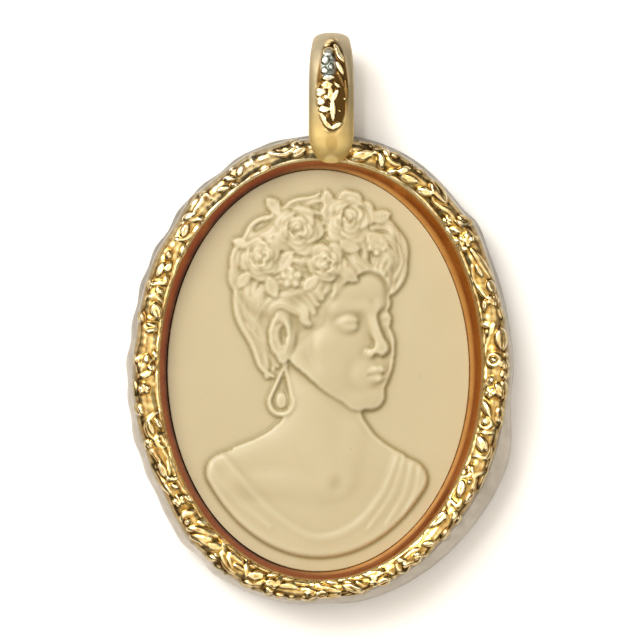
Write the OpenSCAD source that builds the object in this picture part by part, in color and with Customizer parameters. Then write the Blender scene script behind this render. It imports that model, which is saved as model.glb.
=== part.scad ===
// Cameo pendant: a moulded resin cameo set in a cast oval frame with a fixed bail. Sizes are in mm.
// It lies on its back. +X is to the right, +Y towards the bail and +Z out of the front.
// Turns are degrees clockwise from the top of the oval, seen from the front.

/* [Cameo] */
// Width of the cameo
cameo_w = 30.2; // [27:0.2:34]
// Height of the cameo
cameo_h = 40.2; // [36:0.2:46]
// Thickness of the cameo at its edge
cameo_t = 2.4; // [1.8:0.1:3]
// Height of the figure above the cameo's ground
relief_h = 1.8; // [1:0.1:2]

/* [Frame] */
// Width of the smooth inner wall, seen from the front
wall_w = 1.1; // [0.8:0.05:1.4]
// Height of the smooth inner wall above the cameo's ground
wall_h = 2.1; // [2:0.1:2.8]
// Width of the band that carries the ornament
band_w = 2.5; // [2:0.1:3]
// Height of the band's crown above the lip
crown_h = 0.6; // [0.5:0.05:1]
// Width of the plain outer side, seen from the front
side_w = 0.6; // [0.4:0.05:0.8]
// Width of the ledge under the cameo
ledge_w = 1.3; // [1:0.1:1.8]
// Thickness of the ledge under the cameo
ledge_t = 2; // [1.6:0.1:2.4]
// Height of the flowers and leaves above the band
ornament_h = 0.42; // [0.2:0.02:0.6]

/* [Bail] */
// Width of the bail at its top
bail_w = 3.7; // [2.8:0.1:4.4]
// Width of the bail where it meets the frame
bail_foot_w = 4.5; // [4.2:0.1:5.4]
// Thickness of the bail's strap
bail_t = 1.8; // [1.4:0.1:2]
// Height of the bail above the frame
bail_rise = 10.2; // [8.5:0.1:12]
// Distance of the bail to the right of the oval's centre line
bail_x = 1.3; // [0:0.1:1.6]

/* [Hidden] */

// Clearance between the cameo and the frame
gap = 0.1;
// Rings round the frame, and how deep a chased piece is rooted in the metal
stations = 216;
root = 0.2;
// How far the back leg of the bail stays above the surface that the pendant lies on
bail_lift = 0.3;

ground_z = ledge_t + gap + cameo_t;
lip_z = ground_z + wall_h;
crown_z = lip_z + crown_h;
pocket_rx = cameo_w / 2 + gap;
pocket_ry = cameo_h / 2 + gap;

// How the cast rim varies round the oval: turn, then shares of wall_w, band_w and side_w
rim_rows = [
    [0, 0.77, 0.88, 0.67], [10, 0.79, 0.98, 0.70], [20, 0.98, 1.03, 0.55], [30, 1.14, 1.02, 0.63],
    [40, 1.27, 0.98, 0.53], [47, 1.35, 0.97, 0.53], [52, 1.36, 1.10, 0.68], [60, 1.32, 1.02, 0.60],
    [70, 1.27, 1.00, 0.73], [80, 1.20, 1.05, 0.68], [90, 1.14, 1.12, 0.63], [97, 1.09, 1.06, 0.72],
    [103, 1.06, 1.01, 1.57], [110, 1.02, 1.01, 2.58], [118, 0.95, 1.00, 2.70], [126, 0.91, 0.94, 2.55],
    [134, 0.89, 0.85, 2.47], [142, 0.86, 0.82, 2.17], [150, 0.84, 0.79, 1.87], [160, 0.77, 0.78, 1.58],
    [170, 0.73, 0.72, 1.50], [178, 0.68, 0.76, 0.87], [186, 0.65, 0.91, 0.75], [196, 0.62, 1.01, 0.73],
    [205, 0.60, 1.06, 0.87], [212, 0.61, 1.09, 1.20], [217, 0.63, 1.06, 0.83], [224, 0.64, 1.08, 1.30],
    [234, 0.62, 0.99, 1.17], [244, 0.61, 1.01, 1.20], [254, 0.64, 1.08, 1.13], [262, 0.64, 1.08, 1.03],
    [270, 0.65, 1.09, 1.03], [280, 0.69, 1.02, 0.87], [290, 0.75, 1.03, 0.75], [300, 0.82, 1.02, 0.62],
    [309, 0.78, 0.94, 0.60], [316, 0.75, 1.03, 0.50], [328, 0.73, 0.92, 0.42], [340, 0.75, 0.95, 0.50],
    [350, 0.75, 0.91, 0.50]];

// The rim's section on the band: share of the band's width, then of crown_h above the lip
band_rows = [[0, 0], [0.04, 0.32], [0.13, 0.44], [0.22, 0.66], [0.34, 0.90], [0.46, 1], [0.56, 0.98],
             [0.66, 0.86], [0.76, 0.60], [0.85, 0.16], [0.92, -0.45], [1, -1.45]];

// A value of one column of rim_rows at a turn, on a smooth closed curve through the rows
rows = len(rim_rows);
function rim_turn(i) = rim_rows[(i + rows) % rows][0] + 360 * floor(i / rows);
function rim_value(i, c) = rim_rows[(i + rows) % rows][c];
function rim_slope(i, c) = (rim_value(i + 1, c) - rim_value(i - 1, c)) / (rim_turn(i + 1) - rim_turn(i - 1));
function rim(turn, c) =
    let(t = turn - 360 * floor(turn / 360),
        i = max([for (k = [0:rows - 1]) if (rim_rows[k][0] <= t) k]),
        span = rim_turn(i + 1) - rim_turn(i),
        u = (t - rim_turn(i)) / span)
    rim_value(i, c) * (1 - u * u * (3 - 2 * u)) + rim_value(i + 1, c) * u * u * (3 - 2 * u)
    + span * (rim_slope(i, c) * u * pow(1 - u, 2) - rim_slope(i + 1, c) * u * u * (1 - u));

function lip_d(turn) = wall_w * rim(turn, 1);
function edge_d(turn) = lip_d(turn) + band_w * rim(turn, 2);
function reach_d(turn) = edge_d(turn) + side_w * rim(turn, 3);

// A point at a distance d outside the pocket's oval and at a height z, and the way out there
function outward(turn) = let(v = [pocket_ry * sin(turn), pocket_rx * cos(turn), 0]) v / norm(v);
function oval(turn, d, z) =
    [pocket_rx * sin(turn), pocket_ry * cos(turn), 0] + outward(turn) * d + [0, 0, z];

// Shares of the way round the oval against turns, so that the ornament keeps an even pace
pace_steps = 72;
function pace_point(k) = oval(360 * k / pace_steps, wall_w + band_w / 2, 0);
function pace_so_far(k) = k == 0 ? 0 : pace_so_far(k - 1) + norm(pace_point(k) - pace_point(k - 1));
way_round = pace_so_far(pace_steps);
pace = [for (k = [0:pace_steps]) [360 * k / pace_steps, 100 * pace_so_far(k) / way_round]];

// The floral band: kind, hundredths of the way round, share across, turn of the piece,
// and size as a share of band_w
motifs = [
    ["flower", 4.6, 0.82, 20, 0.36], ["leaf", 2.6, 0.20, 30, 0.50], ["leaf", 6.4, 0.15, 60, 0.42],
    ["leaf", 8.6, 0.35, 175, 0.46], ["leaf", 8.6, 0.72, 10, 0.40], ["leaf", 9.2, 0.35, 8, 0.62],
    ["flower", 12.0, 0.25, 0, 0.22], ["leaf", 12.3, 0.85, -20, 0.42], ["flower", 14.1, 0.42, 50, 0.34],
    ["leaf", 15.0, 0.62, 12, 0.56], ["leaf", 18.8, 0.22, 172, 0.46], ["flower", 19.3, 0.64, 0, 0.28],
    ["leaf", 20.6, 0.60, 32, 0.42], ["leaf", 21.2, 0.62, -36, 0.52], ["berry", 22.6, 0.72, 0, 0.22],
    ["flower", 24.8, 0.73, 30, 0.26], ["leaf", 25.6, 0.80, -8, 0.44], ["flower", 26.8, 0.32, 40, 0.26],
    ["leaf", 28.8, 0.15, 140, 0.42], ["berry", 29.3, 0.30, 0, 0.23], ["leaf", 30.2, 0.12, 50, 0.62],
    ["scroll", 30.9, 0.68, 0, 0.24], ["flower", 33.4, 0.26, 15, 0.24], ["berry", 34.3, 0.40, 0, 0.16],
    ["scroll", 35.4, 0.22, 0, 0.28], ["leaf", 34.6, 0.78, -6, 0.46], ["leaf", 39.6, 0.16, 168, 0.62],
    ["leaf", 39.2, 0.62, -28, 0.50], ["flower", 41.7, 0.65, 10, 0.22], ["berry", 43.1, 0.36, 0, 0.26],
    ["leaf", 44.0, 0.18, -4, 0.66], ["flower", 45.6, 0.58, 40, 0.24], ["leaf", 46.4, 0.80, -42, 0.50],
    ["leaf", 48.2, 0.60, -18, 0.62], ["flower", 50.7, 0.80, 15, 0.30], ["leaf", 51.8, 0.35, 14, 0.42],
    ["flower", 53.7, 0.80, 60, 0.24], ["leaf", 54.4, 0.40, 42, 0.46], ["leaf", 58.0, 0.25, 150, 0.46],
    ["leaf", 56.2, 0.78, 14, 0.42], ["leaf", 58.9, 0.20, 62, 0.52], ["leaf", 60.4, 0.15, 52, 0.56],
    ["berry", 61.9, 0.62, 0, 0.18], ["flower", 63.8, 0.48, 25, 0.28], ["leaf", 64.8, 0.55, 14, 0.56],
    ["leaf", 68.0, 0.32, 196, 0.42], ["flower", 69.0, 0.78, 50, 0.24], ["scroll", 69.0, 0.22, 0, 0.26],
    ["scroll", 70.3, 0.24, 0, 0.36], ["berry", 71.7, 0.75, 0, 0.20], ["flower", 73.5, 0.56, 0, 0.26],
    ["leaf", 72.6, 0.35, -22, 0.56], ["leaf", 76.4, 0.20, 125, 0.52], ["leaf", 75.2, 0.75, -8, 0.42],
    ["leaf", 77.6, 0.20, 70, 0.48], ["leaf", 78.8, 0.22, 98, 0.52], ["leaf", 80.4, 0.15, 60, 0.60],
    ["flower", 82.0, 0.80, 20, 0.24], ["leaf", 83.4, 0.40, -12, 0.46], ["leaf", 85.6, 0.18, 12, 0.46],
    ["leaf", 86.6, 0.65, -14, 0.46], ["scroll", 89.6, 0.58, 0, 0.30], ["flower", 91.0, 0.45, 35, 0.38],
    ["leaf", 92.2, 0.55, -10, 0.44], ["berry", 92.8, 0.20, 0, 0.18], ["flower", 94.8, 0.48, 12, 0.48],
    ["leaf", 93.4, 0.22, 18, 0.42], ["scroll", 97.2, 0.66, 180, 0.32], ["flower", 98.4, 0.78, 45, 0.26]];

// How far each kind of piece stands up, from 0 to 1, at x along it and y across it, in its own size
function dome(r) = sqrt(max(0, 1 - r * r));
leaf_reach = 1.15;
function leaf_rise(x, y) =
    let(u = x / leaf_reach)
    abs(u) >= 1 ? 0 : dome(u) * dome(y / (0.52 * (1 - u * u) + 0.01));
function flower_rise(x, y) =
    let(r = norm([x, y]), lobe = abs(cos(2.5 * atan2(y, x))))
    max(dome(r / 0.3), 0.85 * dome(r / (0.6 + 0.4 * lobe)) * (0.4 + 0.6 * lobe));
function scroll_rise(x, y) = y < -0.3 ? 0 : dome((norm([x, y]) - 0.8) / 0.3);
function piece_rise(kind, x, y) =
    kind == "leaf" ? leaf_rise(x, y) : kind == "flower" ? flower_rise(x, y)
    : kind == "scroll" ? scroll_rise(x, y) : 1.1 * dome(norm([x, y]));

// The height of the ornament at a turn and a share of the band's width, with its ground hammered.
// It fades out at the lip and at the band's outer edge.
hammer_waves = [31, 47];
hammer_depth = 0.16;
function hammered(turn, u) =
    hammer_depth * (1 + cos(hammer_waves[0] * turn + 300 * u) * cos(hammer_waves[1] * turn - 200 * u));
function raised(m, x, y) =
    piece_rise(m[0], (x * cos(m[3]) + y * sin(m[3])) / m[4], (y * cos(m[3]) - x * sin(m[3])) / m[4]);
function fade(u) = min(1, 0.3 + 8 * u, 6 * (1 - u));
function band_rise(turn, near, share, u) =
    let(pieces = [for (m = near)
        raised(m, (share - m[1]) * way_round / 100 / band_w, (u - m[2]) * rim(turn, 2))])
    ornament_h * fade(u) * max(concat([hammered(turn, u)], pieces));

// The side ripples where leaves reach over it, most of all on the left
side_waves = 33;
ripple_share = 0.16;
function ripple(turn) =
    side_w * ripple_share * max(0, -sin(turn - 20)) * cos(side_waves * 360 * lookup(turn, pace) / 100);

// The plain outer side below the band: share of the way out to the rim's reach, of side_w inwards
// from there, and of the height of the band's outer edge
side_rows = [[0.6, 0, 0.84], [1, 0, 0.5], [1, 0.3, 0.17], [1, 1.3, 0]];

// The whole section of the rim as distances outside the pocket and heights
function rim_section(turn) =
    let(lip = lip_d(turn), edge = edge_d(turn), reach = reach_d(turn) + ripple(turn),
        n = len(band_rows), edge_z = lip_z + crown_h * band_rows[n - 1][1], share = lookup(turn, pace),
        near = [for (m = motifs) if (abs(share - m[1]) < 2.5) m])
    concat(
        [[-ledge_w - gap, 0], [-ledge_w - gap, ledge_t], [0, ledge_t], [0, ground_z]],
        [for (i = [0:n - 1])
            let(a = band_rows[max(i - 1, 0)], b = band_rows[min(i + 1, n - 1)], row = band_rows[i],
                way = [(b[0] - a[0]) * (edge - lip), (b[1] - a[1]) * crown_h],
                out = [-way[1], way[0]] / norm(way))
            [lip + (edge - lip) * row[0], lip_z + crown_h * row[1]]
                + out * band_rise(turn, near, share, row[0])],
        [for (row = side_rows) [edge + (reach - edge) * row[0] - side_w * row[1], edge_z * row[2]]]);

// The box round the whole pendant, which gives the origin at the middle of its bottom
silhouette = [for (k = [0:stations - 1])
    let(turn = 360 * k / stations) oval(turn, reach_d(turn) + ripple(turn), 0)];
rim_top = pocket_ry + reach_d(0);
bail_top = rim_top + bail_rise;
middle = [(max([for (p = silhouette) p.x]) + min([for (p = silhouette) p.x])) / 2,
          (bail_top + min([for (p = silhouette) p.y])) / 2, 0];

// Rings of points joined into a solid, either closed on itself or with a cap at each end
module skin(rings, closed) {
    n = len(rings[0]);
    last = len(rings) - (closed ? 1 : 2);
    sides = [for (k = [0:last], j = [0:n - 1])
        let(a = k * n, b = (k + 1) % len(rings) * n, j2 = (j + 1) % n)
        each [[a + j, a + j2, b + j2], [a + j, b + j2, b + j]]];
    caps = closed ? [] : [[for (j = [n - 1:-1:0]) j], [for (j = [0:n - 1]) (len(rings) - 1) * n + j]];
    polyhedron([for (ring = rings) each ring], concat(sides, caps));
}

module rim() skin([for (k = [0:stations - 1])
    let(turn = 360 * k / stations) [for (p = rim_section(turn)) oval(turn, p[0], p[1])]], true);

// The bail's loop stands on edge: its legs are this far apart, and its top is a half circle
bail_front = crown_z + bail_t / 2 - gap;
bail_back = bail_lift + bail_t / 2;
bail_r = (bail_front - bail_back) / 2;
bail_arc_y = bail_top - bail_t / 2 - bail_r;
foot_reach = rim_top - pocket_ry;

// Rows of the foot over the front of the rim: share of the way from the rim's outside to the
// cameo, share of the way down from the strap to the lip, share of the foot's width and of bail_t
foot_rows = [[0, 0, 1, 1], [0.20, 0.03, 0.97, 1], [0.36, 0.12, 0.91, 1], [0.50, 0.30, 0.82, 0.95],
             [0.62, 0.56, 0.68, 0.85], [0.70, 0.80, 0.54, 0.7], [0.75, 0.95, 0.36, 0.5]];

// The strap narrows close to its top, the more so the higher the power
narrowing = 6;
function strap_w(y) =
    let(climb = max(0, (y - rim_top) / (bail_rise - bail_t / 2)))
    bail_foot_w + (bail_w - bail_foot_w) * pow(climb, narrowing);
function strap_row(y, z) = [y, z, strap_w(y), bail_t];
function leg_y(s) = rim_top + (bail_arc_y - rim_top) * s;

// The bail's path from its back leg over the top to its foot: Y, Z, width, thickness
bail_path = concat(
    [for (s = [-0.12, 0.3, 0.7]) strap_row(leg_y(s), bail_back)],
    [for (a = [0:18:180]) strap_row(bail_arc_y + bail_r * sin(a), bail_back + bail_r * (1 - cos(a)))],
    [for (s = [0.75, 0.5, 0.25]) strap_row(leg_y(s), bail_front)],
    [for (r = foot_rows) [rim_top - foot_reach * r[0], bail_front - (bail_front - lip_z) * r[1],
        bail_foot_w * r[2], bail_t * r[3]]]);

// The strap's outward direction at a row of the path
function strap_up(i) =
    let(a = bail_path[max(i - 1, 0)], b = bail_path[min(i + 1, len(bail_path) - 1)])
    [0, b[1] - a[1], a[0] - b[0]] / norm([b[0] - a[0], b[1] - a[1]]);

// The strap's section is a full oval: 1 is an ellipse, and less is squarer, across and through
strap_sides = 16;
round_across = 0.85;
round_through = 0.9;
function strap_ring(i) = [for (k = [0:strap_sides - 1])
    let(a = 360 * k / strap_sides, row = bail_path[i],
        x = row[2] / 2 * sign(cos(a)) * pow(abs(cos(a)), round_across),
        up = row[3] / 2 * sign(sin(a)) * pow(abs(sin(a)), round_through))
    [bail_x + x, row[0], row[1]] + strap_up(i) * up];

// How far the strap's front lies below its middle line at a share of the half width
function strap_drop(share) = bail_t / 2 * (1 - pow(1 - pow(abs(share), 2 / round_across), round_through / 2));

// Chased pieces on the front of the bail: share of the way from the frame to the arc's middle,
// share of the half width, turn, and size as a share of bail_foot_w
chasing = [
    [0.06, -0.25, 160, 0.14], [0.16, 0.05, 30, 0.17], [0.24, -0.40, 120, 0.14], [0.34, 0.35, 95, 0.19],
    [0.42, -0.20, 80, 0.15], [0.54, -0.45, 60, 0.17], [0.66, 0.40, 100, 0.16], [0.74, -0.20, 95, 0.16],
    [0.88, 0.35, 120, 0.14], [0.96, -0.15, 90, 0.15]];
module chased_piece(l, w, h) hull() polyhedron(
    concat([for (i = [0:5]) [0.5 * l * cos(60 * i), 0.5 * w * sin(60 * i), -root]],
           [[-0.25 * l, 0, h], [0.1 * l, 0.15 * w, h], [0.1 * l, -0.15 * w, h]]), [[for (i = [0:8]) i]]);
module chased() for (c = chasing)
    translate([bail_x + c[1] * bail_foot_w / 2, leg_y(c[0]), bail_front + bail_t / 2 - strap_drop(c[1])])
        rotate(c[2]) chased_piece(2.2 * bail_foot_w * c[3], 1.6 * bail_foot_w * c[3], ornament_h * 0.6);

module bail() {
    skin([for (i = [len(bail_path) - 1:-1:0]) strap_ring(i)], false);
    chased();
}

module frame() color("#D8B45C") translate(-middle) union() {
    rim();
    bail();
}

// The figure's solid forms as ellipsoids: across and up in half widths and half heights of the
// cameo, half width, half height, turn, then the level it starts from and its rise, in shares of relief_h
forms = [
    [0.00, -0.78, 0.66, 0.36, 0, 0.12, 0.40], [-0.46, -0.68, 0.40, 0.18, 16, 0.10, 0.42],
    [0.46, -0.67, 0.36, 0.17, -18, 0.10, 0.38], [0.13, -0.32, 0.22, 0.30, 8, 0.12, 0.50],
    [0.06, 0.28, 0.40, 0.36, 12, 0.10, 0.66], [0.25, 0.10, 0.29, 0.325, -6, 0.30, 0.68],
    [-0.28, 0.38, 0.28, 0.28, 20, 0.12, 0.60], [0.04, 0.62, 0.44, 0.25, 0, 0.10, 0.66],
    [0.40, 0.46, 0.18, 0.22, -30, 0.10, 0.60], [-0.24, 0.19, 0.09, 0.13, 0, 0.55, 0.35],
    [-0.245, -0.15, 0.07, 0.09, 0, 0.22, 0.44]];

// The face lies in its own oval, turned to the right: across, up, half width, half height, rise
face_at = [0.25, 0.10];
face_size = [0.27, 0.32];
features = [
    [-0.20, 0.60, 0.36, 0.09, 0.10], [-0.20, 0.45, 0.28, 0.11, -0.20], [-0.18, 0.43, 0.18, 0.07, 0.20],
    [0.70, 0.62, 0.18, 0.08, 0.08], [0.72, 0.50, 0.15, 0.10, -0.18], [0.71, 0.49, 0.10, 0.07, 0.16],
    [0.50, 0.26, 0.13, 0.26, 0.18], [0.62, 0.03, 0.14, 0.11, 0.28], [0.44, -0.02, 0.10, 0.07, 0.12],
    [0.48, -0.28, 0.24, 0.06, 0.16], [0.46, -0.40, 0.20, 0.07, 0.18], [0.47, -0.335, 0.24, 0.03, -0.12],
    [0.36, -0.78, 0.26, 0.14, 0.14], [-0.05, 0.02, 0.34, 0.26, 0.10]];

// Roses and leaves in the hair: across, up, radius in half widths, and turn
roses = [[0.20, 0.76, 0.18, 0], [-0.13, 0.70, 0.17, 40], [-0.37, 0.56, 0.15, 90], [0.06, 0.54, 0.135, 10]];
leaves = [[0.40, 0.645, 0.13, -35], [0.415, 0.774, 0.105, 12], [0.054, 0.858, 0.09, 95],
          [-0.305, 0.82, 0.10, 128], [-0.523, 0.632, 0.085, 160], [0.212, 0.478, 0.10, -40],
          [-0.298, 0.413, 0.10, 290]];

// Folds of the dress at each shoulder: across and up of both ends, half width and rise
folds = [[-0.62, -0.52, -0.22, -0.80, 0.035, 0.22], [-0.50, -0.48, -0.16, -0.72, 0.03, 0.18],
         [0.62, -0.52, 0.46, -0.80, 0.035, 0.20], [0.52, -0.48, 0.38, -0.72, 0.03, 0.16]];

hair_waves = 4;
rose_turns = 2;
bust_margin = 1.4;
aspect = cameo_h / cameo_w;

// A piece of the figure, with x and y in half widths from its middle
function turned(p, q, a) =
    let(x = p.x - q.x, y = (p.y - q.y) * aspect) [x * cos(a) + y * sin(a), y * cos(a) - x * sin(a)];
function form_level(p, f) =
    let(q = turned(p, f, f[4]), r = norm([q.x / f[2], q.y / (f[3] * aspect)]))
    f[5] * max(0, min(1, 4 * (1 - r))) + f[6] * pow(dome(r), 1.4);
function soft(r) = r < 1 ? pow(1 - r * r, 2) : 0;
function rose_level(p, f) =
    let(q = turned(p, f, 0), r = norm(q) / f[2], a = atan2(q.y, q.x) + f[3])
    0.62 * max(0, min(1, 5 * (1 - r))) + (0.38 + 0.1 * cos(rose_turns * 360 * r + a)) * dome(r);
function leaf_level(p, f) =
    let(q = turned(p, f, f[3])) 0.34 + 0.5 * leaf_rise(q.x / f[2], q.y / f[2]);
function fold_level(p, f) =
    let(a = [f[0], f[1]], way = [f[2], f[3]] - a, t = max(0, min(1, (p - a) * way / (way * way))))
    f[5] * soft(norm(p - a - t * way) / f[4]);

function sum(list) = list * [for (v = list) 1];

function figure_level(p) =
    let(body = max([for (f = forms) form_level(p, f)]),
        q = turned(p, face_at, -6), w = [q.x / face_size.x, q.y / (face_size.y * aspect)],
        on_face = norm(w) < 1.05,
        face = sum(on_face ? [for (f = features)
            f[4] * soft(norm([(w.x - f[0]) / f[2], (w.y - f[1]) / f[3]]))] : [0]),
        hair_way = atan2(p.y - 0.30, p.x - 0.10), hair_far = norm([p.x - 0.10, (p.y - 0.30) * aspect]),
        in_hair = body > 0 && !on_face && p.y > 0.1,
        waves = in_hair ? 0.07 * cos(hair_waves * 360 * hair_far + 60 * sin(2 * hair_way)) : 0,
        blooms = max([for (f = roses) rose_level(p, f)]),
        foliage = max([for (f = leaves)
            norm([p.x - f.x, (p.y - f.y) * aspect]) < leaf_reach * f[2] ? leaf_level(p, f) : 0]),
        drapes = sum(p.y < -0.4 ? [for (f = folds) fold_level(p, f)] : [0]))
    max(body > 0 ? body + face + drapes + waves : 0, blooms, foliage);

// The bust is cut off by an oval that runs along the cameo's edge
function cut(p) =
    let(r = norm([p.x * cameo_w / (cameo_w - 2 * bust_margin), p.y * cameo_h / (cameo_h - 2 * bust_margin)]))
    max(0, min(1, (1 - r) * 24));
function ground(p) = relief_h * min(1, max(0, figure_level(p))) * cut(p);

// The cameo's grid has its closest lines at the face: share of the columns, then of the way
// across, and share of the lines, then the angle whose sine is the way up
column_rows = [[0, -1], [0.07, -0.78], [0.42, -0.08], [0.83, 0.54], [0.94, 0.8], [1, 1]];
line_rows = [[0, -90], [0.08, -68], [0.34, -15], [0.70, 26], [0.92, 68], [1, 90]];
columns = 46;
lines = 62;
function line_y(j) = sin(lookup(j / lines, line_rows));
function cameo_row(j) =
    let(y = line_y(j), half = sqrt(1 - y * y))
    [for (i = [0:columns]) let(x = lookup(i / columns, column_rows) * half) [x, y]];
function placed(p, z) = [p.x * cameo_w / 2, p.y * cameo_h / 2, z];

module cameo() color("#DCC8A0") translate(-middle) translate([0, 0, ledge_t + gap]) {
    n = columns + 1;
    inner = [for (j = [1:lines - 1]) each cameo_row(j)];
    left = [for (j = [1:lines - 1]) cameo_row(j)[0]];
    right = [for (j = [lines - 1:-1:1]) cameo_row(j)[columns]];
    rim_points = concat([[0, -1]], left, [[0, 1]], right);
    top = len(inner);
    m = len(rim_points);
    bottom = top + 2;
    edge = concat([top], [for (j = [0:lines - 2]) j * n],
                  [top + 1], [for (j = [lines - 2:-1:0]) j * n + columns]);
    polyhedron(
        concat([for (p = inner) placed(p, cameo_t + ground(p))],
               [placed([0, -1], cameo_t), placed([0, 1], cameo_t)], [for (p = rim_points) placed(p, 0)]),
        concat(
            [for (j = [0:lines - 3], i = [0:columns - 1]) let(a = j * n + i)
                each [[a, a + n, a + n + 1], [a, a + n + 1, a + 1]]],
            [for (i = [0:columns - 1]) [top, i, i + 1]],
            [for (i = [0:columns - 1]) let(a = (lines - 2) * n + i) [a, top + 1, a + 1]],
            [for (k = [0:m - 1]) let(k2 = (k + 1) % m)
                each [[edge[k], bottom + k, bottom + k2], [edge[k], bottom + k2, edge[k2]]]],
            [[for (k = [m - 1:-1:0]) bottom + k]]));
}

frame();
cameo();
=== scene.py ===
"""Cameo pendant lying on its back: a cast gilt frame with a fixed bail round a moulded resin cameo.

The figure is modelled in the round, pressed flat as a bas-relief and finished with carved locks,
roses, an earring and a draped dress. The frame is swept round the oval with its floral band raised
from a table of cast pieces. Lengths are in millimetres until a mesh is made.
"""

import bpy
import numpy as np
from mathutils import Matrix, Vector


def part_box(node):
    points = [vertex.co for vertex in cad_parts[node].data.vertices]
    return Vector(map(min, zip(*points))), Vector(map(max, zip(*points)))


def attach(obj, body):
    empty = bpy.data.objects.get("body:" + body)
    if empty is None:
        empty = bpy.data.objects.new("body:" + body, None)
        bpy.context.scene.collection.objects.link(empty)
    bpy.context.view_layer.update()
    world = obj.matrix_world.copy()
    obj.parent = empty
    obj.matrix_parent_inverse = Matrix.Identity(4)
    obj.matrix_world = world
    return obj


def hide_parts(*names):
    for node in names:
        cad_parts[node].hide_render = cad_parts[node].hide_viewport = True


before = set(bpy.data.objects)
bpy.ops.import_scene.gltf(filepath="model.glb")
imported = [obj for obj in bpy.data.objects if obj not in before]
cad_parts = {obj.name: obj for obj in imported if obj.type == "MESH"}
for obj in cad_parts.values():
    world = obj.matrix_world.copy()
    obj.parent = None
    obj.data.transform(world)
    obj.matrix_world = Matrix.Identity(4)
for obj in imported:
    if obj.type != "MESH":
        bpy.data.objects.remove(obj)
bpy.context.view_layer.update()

MM = 0.001

# The cameo's place and size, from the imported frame
cameo_low, cameo_high = [np.array(corner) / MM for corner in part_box("cameo")]
CAMEO_AT = (cameo_low + cameo_high) / 2
CAMEO_W, CAMEO_H = (cameo_high - cameo_low)[:2]

# Sizes shared with the part's source
RELIEF_H = 1.8
WALL_W, WALL_H = 1.1, 2.1
BAND_W, CROWN_H = 2.5, 0.6
SIDE_W = 0.6
LEDGE_W, LEDGE_T = 1.3, 2.0
ORNAMENT_H = 0.42
BAIL_W, BAIL_FOOT_W, BAIL_T = 3.7, 4.5, 1.8
BAIL_RISE, BAIL_X, BAIL_LIFT = 10.2, 1.3, 0.3
GAP = 0.1

GROUND_Z = cameo_high[2] - RELIEF_H
LIP_Z = GROUND_Z + WALL_H
CROWN_Z = LIP_Z + CROWN_H
POCKET = np.array([CAMEO_W, CAMEO_H]) / 2 + GAP


def smooth(t):
    t = np.clip(t, 0, 1)
    return t * t * (3 - 2 * t)


def dome(r):
    return np.sqrt(np.clip(1 - r * r, 0, 1))


def hill(r):
    return np.exp(-r * r)


def softened(height, times):
    """A grid of heights, averaged with its neighbours as many times as asked."""
    for _ in range(times):
        h = np.pad(height, 1, mode="edge")
        rows = h[:-2] + 2 * h[1:-1] + h[2:]
        height = (rows[:, :-2] + 2 * rows[:, 1:-1] + rows[:, 2:]) / 16
    return height


def smooth_curve(points, count):
    """Points along a smooth curve through the given ones."""
    points = np.asarray(points, float)
    way = np.linspace(0, len(points) - 1, count)
    k = np.clip(way.astype(int), 0, len(points) - 2)
    f = (way - k)[:, None]
    more = np.vstack([2 * points[0] - points[1], points, 2 * points[-1] - points[-2]])
    a, b, c, d = more[k], more[k + 1], more[k + 2], more[k + 3]
    bend, twist = 2 * a - 5 * b + 4 * c - d, 3 * b - a - 3 * c + d
    return 0.5 * (2 * b + (c - a) * f + bend * f ** 2 + twist * f ** 3)


def near_curve(x, y, curve, half_width):
    """How far each point lies from a curve, in half widths, with a sign for the side it is on."""
    best = np.full(x.shape, 1e9)
    side = np.zeros(x.shape)
    last = len(curve) - 1
    for i in range(last):
        start, way = curve[i], curve[i + 1] - curve[i]
        t = np.clip(((x - start[0]) * way[0] + (y - start[1]) * way[1]) / max(way @ way, 1e-9), 0, 1)
        dx, dy = x - start[0] - t * way[0], y - start[1] - t * way[1]
        far = np.hypot(dx, dy) / half_width((i + t) / last)
        nearer = far < best
        best = np.where(nearer, far, best)
        side = np.where(nearer, np.sign(way[0] * dy - way[1] * dx), side)
    return best * np.where(side < 0, -1, 1)


# The bust, modelled in the round. A solid is a function that gives the distance of points from its
# skin, in mm of a real head. Its middle lies between the eyes: X to the left, Y up, Z out of the face.
HEAD_SCALE = 0.077
HEAD_AT = (0.9, 4.75)
HEAD_TURN, HEAD_LEAN, HEAD_NOD = np.radians([43, 5, -2])


def ellipsoid(p, centre, radii):
    radii = np.asarray(radii, np.float32)
    q = (p - np.asarray(centre, np.float32)) / radii
    far = np.sqrt((q * q).sum(-1))
    slope = np.sqrt(((q / radii) ** 2).sum(-1))
    return far * (far - 1) / np.maximum(slope, 1e-6)


def limb(p, start, end, start_r, end_r):
    start, end = np.asarray(start, np.float32), np.asarray(end, np.float32)
    way = end - start
    t = np.clip(((p - start) @ way) / (way @ way), 0, 1)
    return np.sqrt(((p - start - t[..., None] * way) ** 2).sum(-1)) - (start_r + (end_r - start_r) * t)


def joined(a, b, ease):
    h = np.clip(0.5 + 0.5 * (b - a) / ease, 0, 1)
    return b + (a - b) * h - ease * h * (1 - h)


def hollowed(a, b, ease):
    return -joined(-a, b, ease)


def skull(p, s):
    d = ellipsoid(p, (0, 30, -12), (73, 85, 92))
    d = joined(d, ellipsoid(p, (0, 34, 28), (60, 58, 57)), 18)
    d = joined(d, ellipsoid(p, (0, -34, 34), (50, 56, 49)), 18)
    d = joined(d, limb(s, (54, -38, 2), (15, -98, 60), 15, 14), 26)
    d = joined(d, ellipsoid(p, (0, -98, 67), (20, 15, 17)), 16)
    d = joined(d, ellipsoid(s, (41, -26, 50), (20, 17, 17)), 26)
    return joined(d, ellipsoid(s, (30, -54, 50), (24, 28, 20)), 24)


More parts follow.
